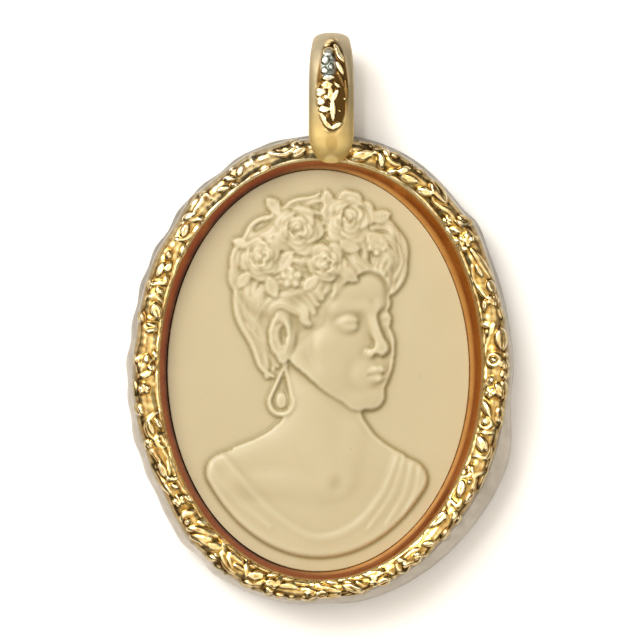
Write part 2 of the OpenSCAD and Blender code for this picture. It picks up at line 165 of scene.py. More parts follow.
def with_eyes(d, s):
    d = joined(d, limb(s, (12, 18, 80), (44, 21, 65), 5, 4.5), 14)
    d = hollowed(d, ellipsoid(s, (29, 1, 92), (19, 11, 16)), 12)
    d = joined(d, ellipsoid(s, (29, 0, 66), (15, 14, 15)), 5)
    eye = ellipsoid(s, (29, 0, 66), (13.6, 13.6, 16.4))
    lids = ellipsoid(s, (29, 0, 66), (16.2, 15.7, 18.6))
    arch = (s[..., 0] - 29) / 15
    upper = np.maximum(lids, 3.6 - 5.2 * arch ** 2 + 0.8 * arch - s[..., 1])
    lower = np.maximum(lids + 0.6, s[..., 1] + 4.8 - 4.4 * arch ** 2 - 0.6 * arch)
    d = joined(d, eye, 2)
    return joined(d, np.minimum(upper, lower), 1.6)


def with_nose(d, p, s):
    d = joined(d, limb(p, (0, 12, 82), (0, -30, 99), 5.5, 6.5), 13)
    d = joined(d, ellipsoid(p, (0, -36, 101), (8, 7.5, 9)), 8)
    d = joined(d, ellipsoid(s, (10.5, -40, 89), (5, 5.2, 7.5)), 6)
    return hollowed(d, ellipsoid(s, (5.5, -47.5, 94), (3, 3, 6)), 2)


def with_mouth(d, p, s):
    d = joined(d, ellipsoid(p, (0, -67, 75), (28, 21, 14)), 14)
    d = joined(d, limb(s, (4, -62.5, 90), (24, -68.5, 76), 4.6, 1.8), 3.5)
    d = joined(d, limb(s, (0, -75, 88), (16, -72.5, 80.5), 5.6, 2.4), 3.5)
    d = hollowed(d, limb(s, (0, -68.6, 97), (26, -69.6, 77), 2.0, 1.3), 2)
    return hollowed(d, ellipsoid(p, (0, -86, 92), (13, 4.5, 7)), 8)


def head(p):
    s = np.stack([np.abs(p[..., 0]), p[..., 1], p[..., 2]], -1)
    return with_mouth(with_nose(with_eyes(skull(p, s), s), p, s), p, s)


def ear(p):
    """The near ear: an oval with a rolled rim, an inner fold, a hollow, and a lobe."""
    lean = np.radians(-12)
    x, y, z = p[..., 0] + 74, p[..., 1] + 12, p[..., 2] + 6
    q = np.stack([x, y * np.cos(lean) - z * np.sin(lean), y * np.sin(lean) + z * np.cos(lean)], -1)
    tall = 1.55
    far = np.hypot(q[..., 1] / tall, q[..., 2])
    round_it = np.arctan2(q[..., 1] / tall, q[..., 2])
    d = ellipsoid(q, (3, 0, 0), (8, 30, 19))
    d = hollowed(d, ellipsoid(q, (-8, 3, 0), (8, 20, 11.5)), 3)
    roll = 1.2 + 2.6 * smooth(0.62 + 0.8 * np.cos(round_it - np.radians(125)))
    d = joined(d, np.hypot(far - 16.5, q[..., 0] + 5) - roll, 2.5)
    fold = [(-3, -14, 2), (-4, -4, -7), (-4, 8, -7), (-3, 17, 0)]
    for start, end in zip(fold, fold[1:]):
        d = joined(d, limb(q, start, end, 2.8, 2.6), 3)
    d = hollowed(d, ellipsoid(q, (-6, -3, 3), (9, 9, 5.5)), 3)
    d = joined(d, ellipsoid(q, (-3, -4, 13), (4, 5.5, 4)), 4)
    return joined(d, ellipsoid(q, (-2, -27, 5), (6, 9, 8.5)), 4)


def neck_and_chest(p):
    d = limb(p, (-2, -60, -22), (-16, -190, -44), 43, 46)
    d = joined(d, limb(p, (-60, -165, -52), (-160, -212, -60), 26, 34), 40)
    d = joined(d, limb(p, (34, -168, -50), (118, -214, -68), 27, 31), 62)
    d = joined(d, ellipsoid(p, (-20, -326, -68), (168, 138, 72)), 50)
    d = joined(d, limb(p, (-172, -250, -60), (-176, -330, -58), 36, 34), 26)
    d = joined(d, limb(p, (132, -252, -72), (138, -330, -70), 34, 32), 26)
    d = joined(d, limb(p, (-40, -56, -14), (4, -204, -2), 8, 7), 26)
    d = joined(d, limb(p, (30, -90, -18), (18, -200, -8), 7, 6), 26)
    d = joined(d, limb(p, (-4, -213, -6), (-118, -204, -28), 5, 6), 22)
    return hollowed(d, ellipsoid(p, (13, -211, 12), (7, 8, 10)), 16)


def turned_to_head(x, y, z):
    c, s = np.cos(HEAD_LEAN), np.sin(HEAD_LEAN)
    x, y = x * c + y * s, y * c - x * s
    c, s = np.cos(HEAD_TURN), np.sin(HEAD_TURN)
    x, z = x * c - z * s, x * s + z * c
    c, s = np.cos(HEAD_NOD), np.sin(HEAD_NOD)
    y, z = y * c - z * s, y * s + z * c
    return np.stack([x, y, z], -1)


def bare_bust(x, y, z):
    p = np.stack([x, y, z], -1)
    h = turned_to_head(x, y, z)
    return joined(np.minimum(head(h), ear(h)), neck_and_chest(p), 10)


def hair(x, y, z):
    """The dressed hair as one mass, open at the face and the near ear."""
    p = np.stack([x, y, z], -1)
    h = turned_to_head(x, y, z)
    d = ellipsoid(p, (-18, 66, -22), (100, 92, 78))
    d = joined(d, ellipsoid(h, (0, 36, -2), (80, 92, 94)), 14)
    d = joined(d, limb(p, (-90, 34, -38), (-60, -56, -44), 26, 13), 24)
    d = joined(d, ellipsoid(p, (64, 86, -14), (36, 46, 46)), 18)
    d = d + 3.5 * np.sin(0.11 * x + 0.05 * y + 1) * np.sin(0.10 * y - 0.05 * x)
    d = hollowed(d, ellipsoid(h, (0, -20, 82), (66, 84, 72)), 8)
    d = hollowed(d, ellipsoid(h, (-72, -68, 44), (52, 66, 46)), 10)
    d = hollowed(d, ellipsoid(h, (76, -60, 34), (60, 66, 44)), 10)
    return hollowed(d, ellipsoid(h, (-86, -16, -4), (26, 33, 23)), 5)


def whole_bust(x, y, z):
    return joined(bare_bust(x, y, z), hair(x, y, z), 3)


# The walk down onto the bust's skin, in mm of a real head: where it starts and where it gives up,
# its most steps, the share of the way to the skin that a step takes, its least, and when it is there
IN_FRONT, FAR_BACK = 150.0, -110.0
MOST_STEPS, STEP_SHARE, LEAST_STEP, THERE = 70, 0.85, 0.05, 0.25


def seen_depth(x, y):
    """How far the bust stands towards the viewer, by walking down onto its skin from the front."""
    z = np.full(x.shape, IN_FRONT, np.float32)
    walking = np.ones(x.shape, bool)
    met = np.zeros(x.shape, bool)
    for _ in range(MOST_STEPS):
        at = np.nonzero(walking)
        d = whole_bust(x[at], y[at], z[at])
        z[at] -= STEP_SHARE * np.maximum(d, LEAST_STEP)
        met[tuple(i[d < THERE] for i in at)] = True
        walking[at] = (d >= THERE) & (z[at] > FAR_BACK)
    return np.where(met, z, FAR_BACK), met


# The bas-relief: the share of a slope that is kept, the steepness from which it counts less, and
# the rounds of solving
KEPT_SLOPE, STEEP, SOLVING_ROUNDS = 0.42, 1.6, 500


def pressed_flat(height, inside, step):
    """Bas-relief of a deep grid of heights: steep slopes count less, and the ground stays flat.

    The eased slopes are joined up again by solving for the heights that fit them best.
    """

    def eased(slope):
        return KEPT_SLOPE * slope / (1 + np.abs(slope) / STEEP)

    def steps_out(v):
        out = 4 * v
        out[:, :-1] -= v[:, 1:]
        out[:, 1:] -= v[:, :-1]
        out[:-1] -= v[1:]
        out[1:] -= v[:-1]
        return out * inside

    across = eased(np.diff(height, axis=1) / step) * step
    up = eased(np.diff(height, axis=0) / step) * step
    rest = np.zeros_like(height)
    rest[:, :-1] -= across
    rest[:, 1:] += across
    rest[:-1] -= up
    rest[1:] += up
    rest = rest * inside
    flat, way, size = np.zeros_like(height), rest.copy(), (rest * rest).sum()
    for _ in range(SOLVING_ROUNDS):
        spread = steps_out(way)
        share = size / max((way * spread).sum(), 1e-12)
        flat += share * way
        rest = rest - share * spread
        new_size = (rest * rest).sum()
        way = rest + new_size / size * way
        size = new_size
    return flat


# Sheaves of locks: the curves of the first and the last lock on the cameo, how many locks lie
# between them, their half width and their sway
SHEAVES = [
    ([(-4.5, -0.6), (-5.8, 1.8), (-7.6, 5.2), (-8.9, 8.4), (-8.4, 11.6), (-6.6, 14.2)],
     [(-4.3, 1.0), (-4.9, 3.4), (-5.6, 5.8), (-5.9, 8.0), (-5.2, 9.8), (-4.4, 10.6)], 6, 0.50, 2.0),
    ([(-0.9, 4.6), (-1.5, 5.9), (-3.2, 6.5), (-5.0, 5.5), (-5.5, 2.8)],
     [(0.8, 8.8), (-1.2, 9.8), (-3.8, 9.6), (-6.0, 8.0), (-6.8, 5.4)], 8, 0.52, 1.2),
    ([(0.4, 7.2), (0.4, 9.2), (-0.8, 10.6), (-2.8, 11.2)],
     [(7.3, 8.4), (7.2, 10.8), (5.6, 13.0), (3.4, 14.4)], 13, 0.52, 1.8),
    ([(6.4, 9.8), (6.9, 11.2), (7.3, 10.6), (7.3, 9.6), (6.8, 8.9)],
     [(3.8, 15.4), (6.4, 15.0), (8.4, 13.0), (8.7, 10.4), (7.3, 7.9)], 6, 0.50, 0.8),
    ([(-8.0, 10.6), (-6.8, 14.0), (-3.8, 16.5), (0.2, 17.4)],
     [(-6.2, 9.6), (-4.6, 11.6), (-2.4, 13.6), (0.6, 14.6)], 5, 0.50, 1.6)]

# Flowers and leaves in the hair: middle or foot on the cameo, radius or length, and turn
ROSES = [((3.0, 15.3), 2.75, 15), ((-2.0, 14.0), 2.6, 75), ((-5.6, 11.2), 2.3, 120),
         ((0.9, 10.9), 2.05, 200)]
ROSE_LEAVES = [
    ((4.9, 13.8), 2.9, -35), ((5.1, 15.3), 2.4, 12), ((0.9, 16.2), 2.1, 95), ((-3.9, 15.6), 2.3, 128),
    ((-7.0, 12.4), 1.9, 160), ((-2.6, 11.9), 2.6, 240), ((-4.9, 9.4), 2.4, 290),
    ((-6.9, 9.8), 2.1, 236), ((2.2, 12.9), 2.3, -20), ((2.3, 10.4), 2.4, -40), ((0.0, 9.4), 2.2, 225)]
SMALL_BLOSSOMS = [((-2.7, 9.3), 1.2, 20), ((5.9, 12.4), 1.0, 50)]

# A rose seen from above, from its outside in: petals, how far each one's middle lies from the
# rose's, its radius, the level of its lip and how deep it is cupped, all in the rose's radius
PETAL_ROUNDS = [(5, 0.50, 0.52, 0.50, 0.34), (5, 0.36, 0.44, 0.66, 0.44), (4, 0.22, 0.37, 0.82, 0.50),
                (3, 0.12, 0.26, 0.94, 0.50), (2, 0.05, 0.14, 1.0, 0.40)]

NECKLINE = [(-9.6, -8.2), (-7.6, -10.6), (-4.6, -14.0), (-0.4, -16.6), (3.4, -15.6), (6.2, -12.4),
            (7.8, -8.6)]

# Folds of the dress: curve, half width and rise
FOLDS = [
    ([(-10.9, -9.0), (-9.9, -11.0), (-7.6, -13.4), (-4.9, -15.6)], 0.50, 0.16),
    ([(-11.9, -9.8), (-11.2, -11.8), (-9.3, -14.4), (-7.0, -16.4)], 0.45, 0.14),
    ([(-9.9, -8.4), (-8.6, -10.0), (-6.6, -12.4)], 0.42, 0.12),
    ([(8.6, -8.8), (7.4, -12.4), (5.0, -15.8)], 0.32, 0.14),
    ([(9.4, -9.2), (8.6, -12.4), (6.8, -15.4)], 0.30, 0.14),
    ([(10.2, -9.6), (9.8, -12.0), (8.4, -14.8)], 0.28, 0.12),
    ([(11.0, -10.2), (10.8, -12.0), (9.8, -14.0)], 0.26, 0.10)]


def locks(x, y):
    """How far the locks stand out of the mass of hair, from 0 to 1."""
    out = np.zeros(x.shape)
    for first, last, count, half_width, sway in SHEAVES:
        first, last = np.asarray(first), np.asarray(last)
        for i in range(count):
            share = i / (count - 1)
            curve = smooth_curve(first * (1 - share) + last * share, 24)
            way = np.gradient(curve, axis=0)
            way /= np.linalg.norm(way, axis=1, keepdims=True)
            along = np.linspace(0, 2 * np.pi, len(curve))
            wave = sway * (0.26 * np.sin(1.2 * along + 1.3 * i) + 0.12 * np.sin(2.9 * along + 2.1 * i))
            curve = curve + np.stack([-way[:, 1], way[:, 0]], 1) * wave[:, None]
            low, high = curve.min(0) - 0.9, curve.max(0) + 0.9
            rows = (y[:, 0] > low[1]) & (y[:, 0] < high[1])
            columns = (x[0] > low[0]) & (x[0] < high[0])
            part = np.ix_(rows, columns)
            thick = half_width * (0.95 + 0.3 * np.sin(2.6 * i + count))
            far = near_curve(x[part], y[part], curve,
                             lambda t: thick * (0.3 + 0.7 * np.sin(np.pi * (0.06 + 0.88 * t)) ** 0.7))
            strand = dome(far) * (1 + 0.12 * np.cos(3 * np.pi * far)) * (0.84 + 0.16 * np.sin(2.4 * i + 1))
            out[part] = np.maximum(out[part], strand)
    return out


def rose(x, y, radius, turn):
    """A full-blown rose: rounds of cupped petals, each laid over the one before it."""
    x, y = x / radius, y / radius
    out = np.zeros(x.shape)
    for k, (petals, off, size, lip, deep) in enumerate(PETAL_ROUNDS):
        for i in range(petals):
            a = np.radians(turn + 53 * k + 360 * i / petals)
            dx, dy = (x - off * np.cos(a)) / size, (y - off * np.sin(a)) / size
            outwards, sideways = dx * np.cos(a) + dy * np.sin(a), dy * np.cos(a) - dx * np.sin(a)
            far = np.hypot(dx, dy) * (1 + 0.05 * np.cos(5 * sideways + i + k))
            cup = lip - deep * smooth(0.55 - 0.6 * outwards) - 0.12 * sideways
            rolled = cup - 0.16 * smooth((far - 0.80) / 0.20)
            out = np.where(far < 1, np.maximum(rolled, 0.04), out)
    return out


def rose_leaf(x, y, length, turn):
    a = np.radians(turn)
    u = (x * np.cos(a) + y * np.sin(a)) / length
    v = (y * np.cos(a) - x * np.sin(a)) / length + 0.06 * np.sin(np.pi * u)
    half = 0.30 * np.clip(1 - np.abs(2 * u - 0.9) ** 2.2, 0, 1) * (1 + 0.06 * np.cos(40 * u))
    far = np.abs(v) / np.maximum(half, 1e-4)
    veins = 0.18 * hill(v / 0.022) + 0.07 * np.cos(2 * np.pi * (6 * u - 5 * np.abs(v)))
    return np.where((far < 1) & (u > 0) & (u < 1), 0.6 + 0.4 * dome(far) - veins, 0)


def blossom(x, y, radius, turn):
    far, a = np.hypot(x, y) / radius, np.arctan2(y, x) - np.radians(turn)
    lobe = np.abs(np.cos(2.5 * a))
    petals = np.clip((0.55 + 0.45 * lobe ** 0.6 - far) * 7, 0, 1) * (0.7 + 0.3 * lobe) * (0.62 + 0.4 * far)
    return np.where(far < 0.22, np.maximum(petals, 0.75 + 0.25 * dome(far / 0.22)), petals)


def flowers(x, y):
    out = np.zeros(x.shape)
    for at, length, turn in ROSE_LEAVES:
        out = np.maximum(out, 0.50 * rose_leaf(x - at[0], y - at[1], length, turn))
    for at, radius, turn in SMALL_BLOSSOMS:
        out = np.maximum(out, 0.58 * blossom(x - at[0], y - at[1], radius, turn))
    for at, radius, turn in ROSES:
        out = np.maximum(out, rose(x - at[0], y - at[1], radius, turn))
    return out


def earring(x, y):
    """A stud with a drop-shaped loop and a stone hanging inside it."""
    stud, middle, radius = (-3.35, 0.55), (-3.7, -3.1), 1.2
    turns = np.radians(np.arange(-125, 126, 25))
    loop = [(middle[0] + radius * np.sin(a), middle[1] - 1.05 * radius * np.cos(a)) for a in turns]
    curve = smooth_curve([stud] + loop + [stud], 60)
    out = dome(near_curve(x, y, curve, lambda t: 0.20 + 0.1 * np.sin(np.pi * t)))
    stone = np.hypot((x - middle[0]) / (0.5 * radius), (y - middle[1] - 0.1) / (0.7 * radius))
    return np.maximum(np.maximum(out, 0.8 * dome(stone)), dome(np.hypot(x - stud[0], y - stud[1]) / 0.36))


def dress(x, y):
    """The rise of the cloth: a rolled neckline, and folds that fall from the shoulders."""
    line = smooth_curve(NECKLINE, 60)
    below = np.interp(x, line[:, 0], line[:, 1]) - y
    worn = smooth((-7.4 - y) / 1.2)
    cloth = 0.10 * smooth(0.5 + below) + 0.10 * hill(near_curve(x, y, line, lambda t: 0.40 + 0 * t))
    for points, half_width, rise in FOLDS:
        curve = smooth_curve(points, 30)
        far = near_curve(x, y, curve, lambda t: half_width * (0.6 + 0.4 * np.sin(np.pi * t)))
        cloth = cloth + 0.6 * rise * hill(far)
    return cloth * worn


GRID_STEP = 0.1

# The bust's oval lower edge: how far it stays from the cameo's, and how round the shoulders end
BUST_MARGIN, SHOULDER_ROUND = 1.35, 2.2

# Rises in mm: the whole figure, its outline, its small forms, the locks on the hair and beside it,
# the flowers and the earring
FIGURE_RISE, EDGE_RISE, CRISP_RISE = 0.95, 0.42, 0.60
LOCK_RISE, LOOSE_LOCK_RISE, FLOWER_RISE, EARRING_RISE = 0.36, 0.42, 0.80, 0.26

# The lowest that the bust and the ground round it count as, in mm of a real head
BUST_LOW, GROUND_LOW = -72, -78

# How often a grid of heights is averaged to find the swell that the small forms stand on
SWELL_ROUNDS = 120


def fine_forms(deep, inside):
    """The small forms of a deep grid of heights, without its slow swell or its cliffs."""
    weight = np.maximum(softened(inside, SWELL_ROUNDS), 1e-3)
    form = deep - softened(deep * inside, SWELL_ROUNDS) / weight
    raised, sunk = 0.55, 0.34
    return np.where(form > 0, raised * np.tanh(form / raised), sunk * np.tanh(form / sunk)) * inside


def modelled_bust(x, y):
    """The bust from the front: its depth on the cameo, where it is met, and where it is hair."""
    u, v = [((way - at) / HEAD_SCALE).astype(np.float32) for way, at in zip((x, y), HEAD_AT)]
    depth, met = seen_depth(u, v)
    at = np.nonzero(met)
    over_skin = np.zeros(x.shape)
    over_skin[at] = bare_bust(u[at], v[at], depth[at])
    deep = softened(np.where(met, np.maximum(depth, BUST_LOW), GROUND_LOW) * HEAD_SCALE, 1)
    return deep, met, smooth((over_skin - 0.4) / 5)


def pressed_bust(deep, met, y):
    """The bust as a bas-relief with a raised outline, its small forms crisper above the neck."""
    solid = met.astype(float)
    inside = (softened(solid, 2) > 0.02).astype(float)
    h = pressed_flat(deep, inside, GRID_STEP)
    h = h * FIGURE_RISE / np.percentile(h[met], 98)
    h = h + EDGE_RISE * smooth(2 * softened(solid, 6) - 0.6) * met
    crisp = CRISP_RISE * (0.35 + 0.65 * smooth((y + 3) / 3))
    return h + crisp * fine_forms(deep, solid) * smooth(3 * softened(solid, 12) - 1.8)


def lower_edge(x, y, met):
    """From 1 on the bust to 0 past its oval lower edge, which rounds into the shoulders."""
    cut = 1 - np.hypot(x / (CAMEO_W / 2 - BUST_MARGIN), y / (CAMEO_H / 2 - BUST_MARGIN))
    shoulder = np.where(met, y, -CAMEO_H).max(axis=0)
    from_cut = np.maximum(SHOULDER_ROUND - cut * CAMEO_W / 2, 0)
    from_shoulder = np.maximum(SHOULDER_ROUND - 0.9 * (shoulder - y), 0)
    inwards = SHOULDER_ROUND - np.hypot(from_cut, from_shoulder)
    return dome(1 - np.clip(2 * inwards, 0, 1))


def figure_relief(x, y):
    """The raised figure's heights above the cameo's ground on a regular grid."""
    deep, met, on_hair = modelled_bust(x, y)
    h = pressed_bust(deep, met, y)
    lock = locks(x, y)
    h = h + on_hair * LOCK_RISE * (lock - 0.5)
    h = np.where((lock > 0.1) & ~met, np.maximum(h, 0.10 + LOOSE_LOCK_RISE * lock), h)
    h = np.where(met & (y < -6), h + dress(x, y), h)
    base = np.maximum(softened(h, 60), 0.12)
    bloom = flowers(x, y)
    h = np.where(bloom > 0, np.maximum(0.9 * base, base - 0.10 + FLOWER_RISE * bloom), h)
    drop = earring(x, y)
    h = np.where(drop > 0, np.maximum(h, 0.8 * base + 0.10 + EARRING_RISE * drop), h)
    return softened(np.where(y < 0, h * lower_edge(x, y, met), h), 1)


def sampled(grid, x, y, low, step):
    """Values of a regular grid at any points, by straight lines between its own points."""
    i, j = (y - low[1]) / step, (x - low[0]) / step
    i0 = np.clip(i.astype(int), 0, grid.shape[0] - 2)
    j0 = np.clip(j.astype(int), 0, grid.shape[1] - 2)
    fi, fj = np.clip(i - i0, 0, 1), np.clip(j - j0, 0, 1)
    top = grid[i0, j0] * (1 - fj) + grid[i0, j0 + 1] * fj
    return top * (1 - fi) + (grid[i0 + 1, j0] * (1 - fj) + grid[i0 + 1, j0 + 1] * fj) * fi


def mesh_piece(name, points, faces, values=None):
    """A smooth mesh from points in mm, with named values kept at its points for its material."""
    mesh = bpy.data.meshes.new(name)
    mesh.from_pydata((np.asarray(points) * MM).tolist(), [], [list(map(int, f)) for f in faces])
    mesh.shade_smooth()
    for key, numbers in (values or {}).items():
        mesh.attributes.new(key, "FLOAT", "POINT").data.foreach_set("value", numbers.astype(np.float32))
    piece = bpy.data.objects.new(name, mesh)
    bpy.context.scene.collection.objects.link(piece)
    return piece


CAMEO_COLUMNS, CAMEO_LINES = 264, 352

# The depth value of a plain surface, between 0 on what stands out and 1 in a hollow. The materials paint
# highlight where it is low and shade where it is high.
LEVEL = 0.5


def hollow_share(relief):
    """The depth values of a relief, by how far it lies under the heights near by and further off: the mask
    for the cameo's painted shade in hollows and painted highlight on what stands out.
    """
    close = np.clip((softened(relief, 8) - relief) / 0.08, -1, 1)
    wide = np.clip((softened(relief, 90) - relief) / 0.5, 0, 1)
    return softened(LEVEL + 0.5 * np.clip(0.9 * close + 0.4 * wide, -1, 1), 1)


def oval_grid(reach):
    """A square grid drawn into the oval: its points, its quads and the ring round its border."""
    n, m = CAMEO_COLUMNS + 1, CAMEO_LINES + 1
    u, v = np.meshgrid(np.linspace(-1, 1, n), np.linspace(-1, 1, m))
    x = (u * np.sqrt(1 - v * v / 2) * reach[0]).ravel()
    y = (v * np.sqrt(1 - u * u / 2) * reach[1]).ravel()
    index = np.arange(n * m).reshape(m, n)
    quads = np.stack([index[:-1, :-1], index[:-1, 1:], index[1:, 1:], index[1:, :-1]], -1)
    border = np.concatenate([index[0, :-1], index[:-1, -1], index[-1, :0:-1], index[:0:-1, 0]])
    return x, y, quads.reshape(-1, 4).tolist(), border


def make_cameo():
    """The cameo: a grid raised by the figure, over a plain side with a small bevel and a flat back."""
    reach = np.array([CAMEO_W, CAMEO_H]) / 2
    relief = figure_relief(*np.meshgrid(*[np.arange(-r, r + GRID_STEP, GRID_STEP) for r in reach]))
    relief = relief * RELIEF_H / relief.max()
    x, y, faces, ring = oval_grid(reach)
    z = GROUND_Z + sampled(relief, x, y, -reach, GRID_STEP)
    # Depth values at the points, for the resin's painted shade and painted highlight
    depth = sampled(hollow_share(relief), x, y, -reach, GRID_STEP)
    points, border, count = [np.stack([x, y, z], 1)], ring, len(ring)
    for share, height in [(1, GROUND_Z - 0.12), (1, cameo_low[2] + 0.15), (0.99, cameo_low[2])]:
        new = sum(map(len, points)) + np.arange(count)
        points.append(np.stack([x[border] * share, y[border] * share, np.full(count, height)], 1))
        faces += [[ring[k - 1], new[k - 1], new[k], ring[k]] for k in range(count)]
        ring = new
    faces.append(list(ring[::-1]))
    points = np.vstack(points) + [CAMEO_AT[0], CAMEO_AT[1], 0]
    depth = np.concatenate([depth, np.full(len(points) - len(depth), LEVEL)])
    return mesh_piece("moulded_cameo", points, faces, {"depth": depth})


# How the cast rim varies round the oval, clockwise from the top: turn, then shares of WALL_W,
# BAND_W and SIDE_W
RIM_ROWS = np.array([
    [0, 0.77, 0.88, 0.67], [10, 0.79, 0.98, 0.70], [20, 0.98, 1.03, 0.55], [30, 1.14, 1.02, 0.63],
    [40, 1.27, 0.98, 0.53], [47, 1.35, 0.97, 0.53], [52, 1.36, 1.10, 0.68], [60, 1.32, 1.02, 0.60],
    [70, 1.27, 1.00, 0.73], [80, 1.20, 1.05, 0.68], [90, 1.14, 1.12, 0.63], [97, 1.09, 1.06, 0.72],
    [103, 1.06, 1.01, 1.57], [110, 1.02, 1.01, 2.58], [118, 0.95, 1.00, 2.70], [126, 0.91, 0.94, 2.55],
    [134, 0.89, 0.85, 2.47], [142, 0.86, 0.82, 2.17], [150, 0.84, 0.79, 1.87], [160, 0.77, 0.78, 1.58],
    [170, 0.73, 0.72, 1.50], [178, 0.68, 0.76, 0.87], [186, 0.65, 0.91, 0.75], [196, 0.62, 1.01, 0.73],
    [205, 0.60, 1.06, 0.87], [212, 0.61, 1.09, 1.20], [217, 0.63, 1.06, 0.83], [224, 0.64, 1.08, 1.30],
    [234, 0.62, 0.99, 1.17], [244, 0.61, 1.01, 1.20], [254, 0.64, 1.08, 1.13], [262, 0.64, 1.08, 1.03],
    [270, 0.65, 1.09, 1.03], [280, 0.69, 1.02, 0.87], [290, 0.75, 1.03, 0.75], [300, 0.82, 1.02, 0.62],
    [309, 0.78, 0.94, 0.60], [316, 0.75, 1.03, 0.50], [328, 0.73, 0.92, 0.42], [340, 0.75, 0.95, 0.50],
    [350, 0.75, 0.91, 0.50]])

# The rim's section on the band: share of the band's width, then of CROWN_H above the lip
BAND_ROWS = np.array([
    [0, 0], [0.04, 0.32], [0.13, 0.44], [0.22, 0.66], [0.34, 0.90], [0.46, 1], [0.56, 0.98],
    [0.66, 0.86], [0.76, 0.60], [0.85, 0.16], [0.92, -0.45], [1, -1.45]])


def cubic(at, places, values):
    """A smooth curve through rows of places and values, with two spare rows at each end."""
    slopes = (values[2:] - values[:-2]) / (places[2:] - places[:-2])
    i = np.clip(np.searchsorted(places, at, side="right") - 1, 1, len(places) - 3)
    span = places[i + 1] - places[i]
    t = (at - places[i]) / span
    ease = t * t * (3 - 2 * t)
    lead = span * (slopes[i - 1] * t * (1 - t) ** 2 - slopes[i] * t * t * (1 - t))
    return values[i] * (1 - ease) + values[i + 1] * ease + lead


def rim_share(turn, column):
    turns = np.concatenate([RIM_ROWS[-2:, 0] - 360, RIM_ROWS[:, 0], RIM_ROWS[:3, 0] + 360])
    values = np.concatenate([RIM_ROWS[-2:, column], RIM_ROWS[:, column], RIM_ROWS[:3, column]])
    return cubic(turn % 360, turns, values)


def rim_widths(turn):
    """The widths of the wall, the band and the side at a turn."""
    return [size * rim_share(turn, k + 1) for k, size in enumerate((WALL_W, BAND_W, SIDE_W))]


def crown_share(across):
    rows = BAND_ROWS
    for _ in range(2):
        rows = np.vstack([[2 * rows[0] - rows[1]], rows, [2 * rows[-1] - rows[-2]]])
    return cubic(across, rows[:, 0], rows[:, 1])


def on_oval(turn, out, height):
    """Points at distances out from the pocket's oval, at a turn clockwise from the top."""
    s, c = np.sin(np.radians(turn)), np.cos(np.radians(turn))
    way = np.stack([POCKET[1] * s, POCKET[0] * c], -1)
    way /= np.linalg.norm(way, axis=-1, keepdims=True)
    flat = np.stack([POCKET[0] * s, POCKET[1] * c], -1) + way * out[..., None] + CAMEO_AT[:2]
    return np.concatenate([flat, height[..., None]], -1)


STATIONS = 1300


def even_stations():
    """Turns at an even pace round the cameo, and the way round in mm."""
    fine = np.linspace(0, 360, 3601)
    points = on_oval(fine, np.zeros(fine.shape), np.zeros(fine.shape))
    way = np.concatenate([[0], np.cumsum(np.linalg.norm(np.diff(points, axis=0), axis=1))])
    return np.interp(np.linspace(0, way[-1], STATIONS + 1)[:-1], way, fine), way[-1]


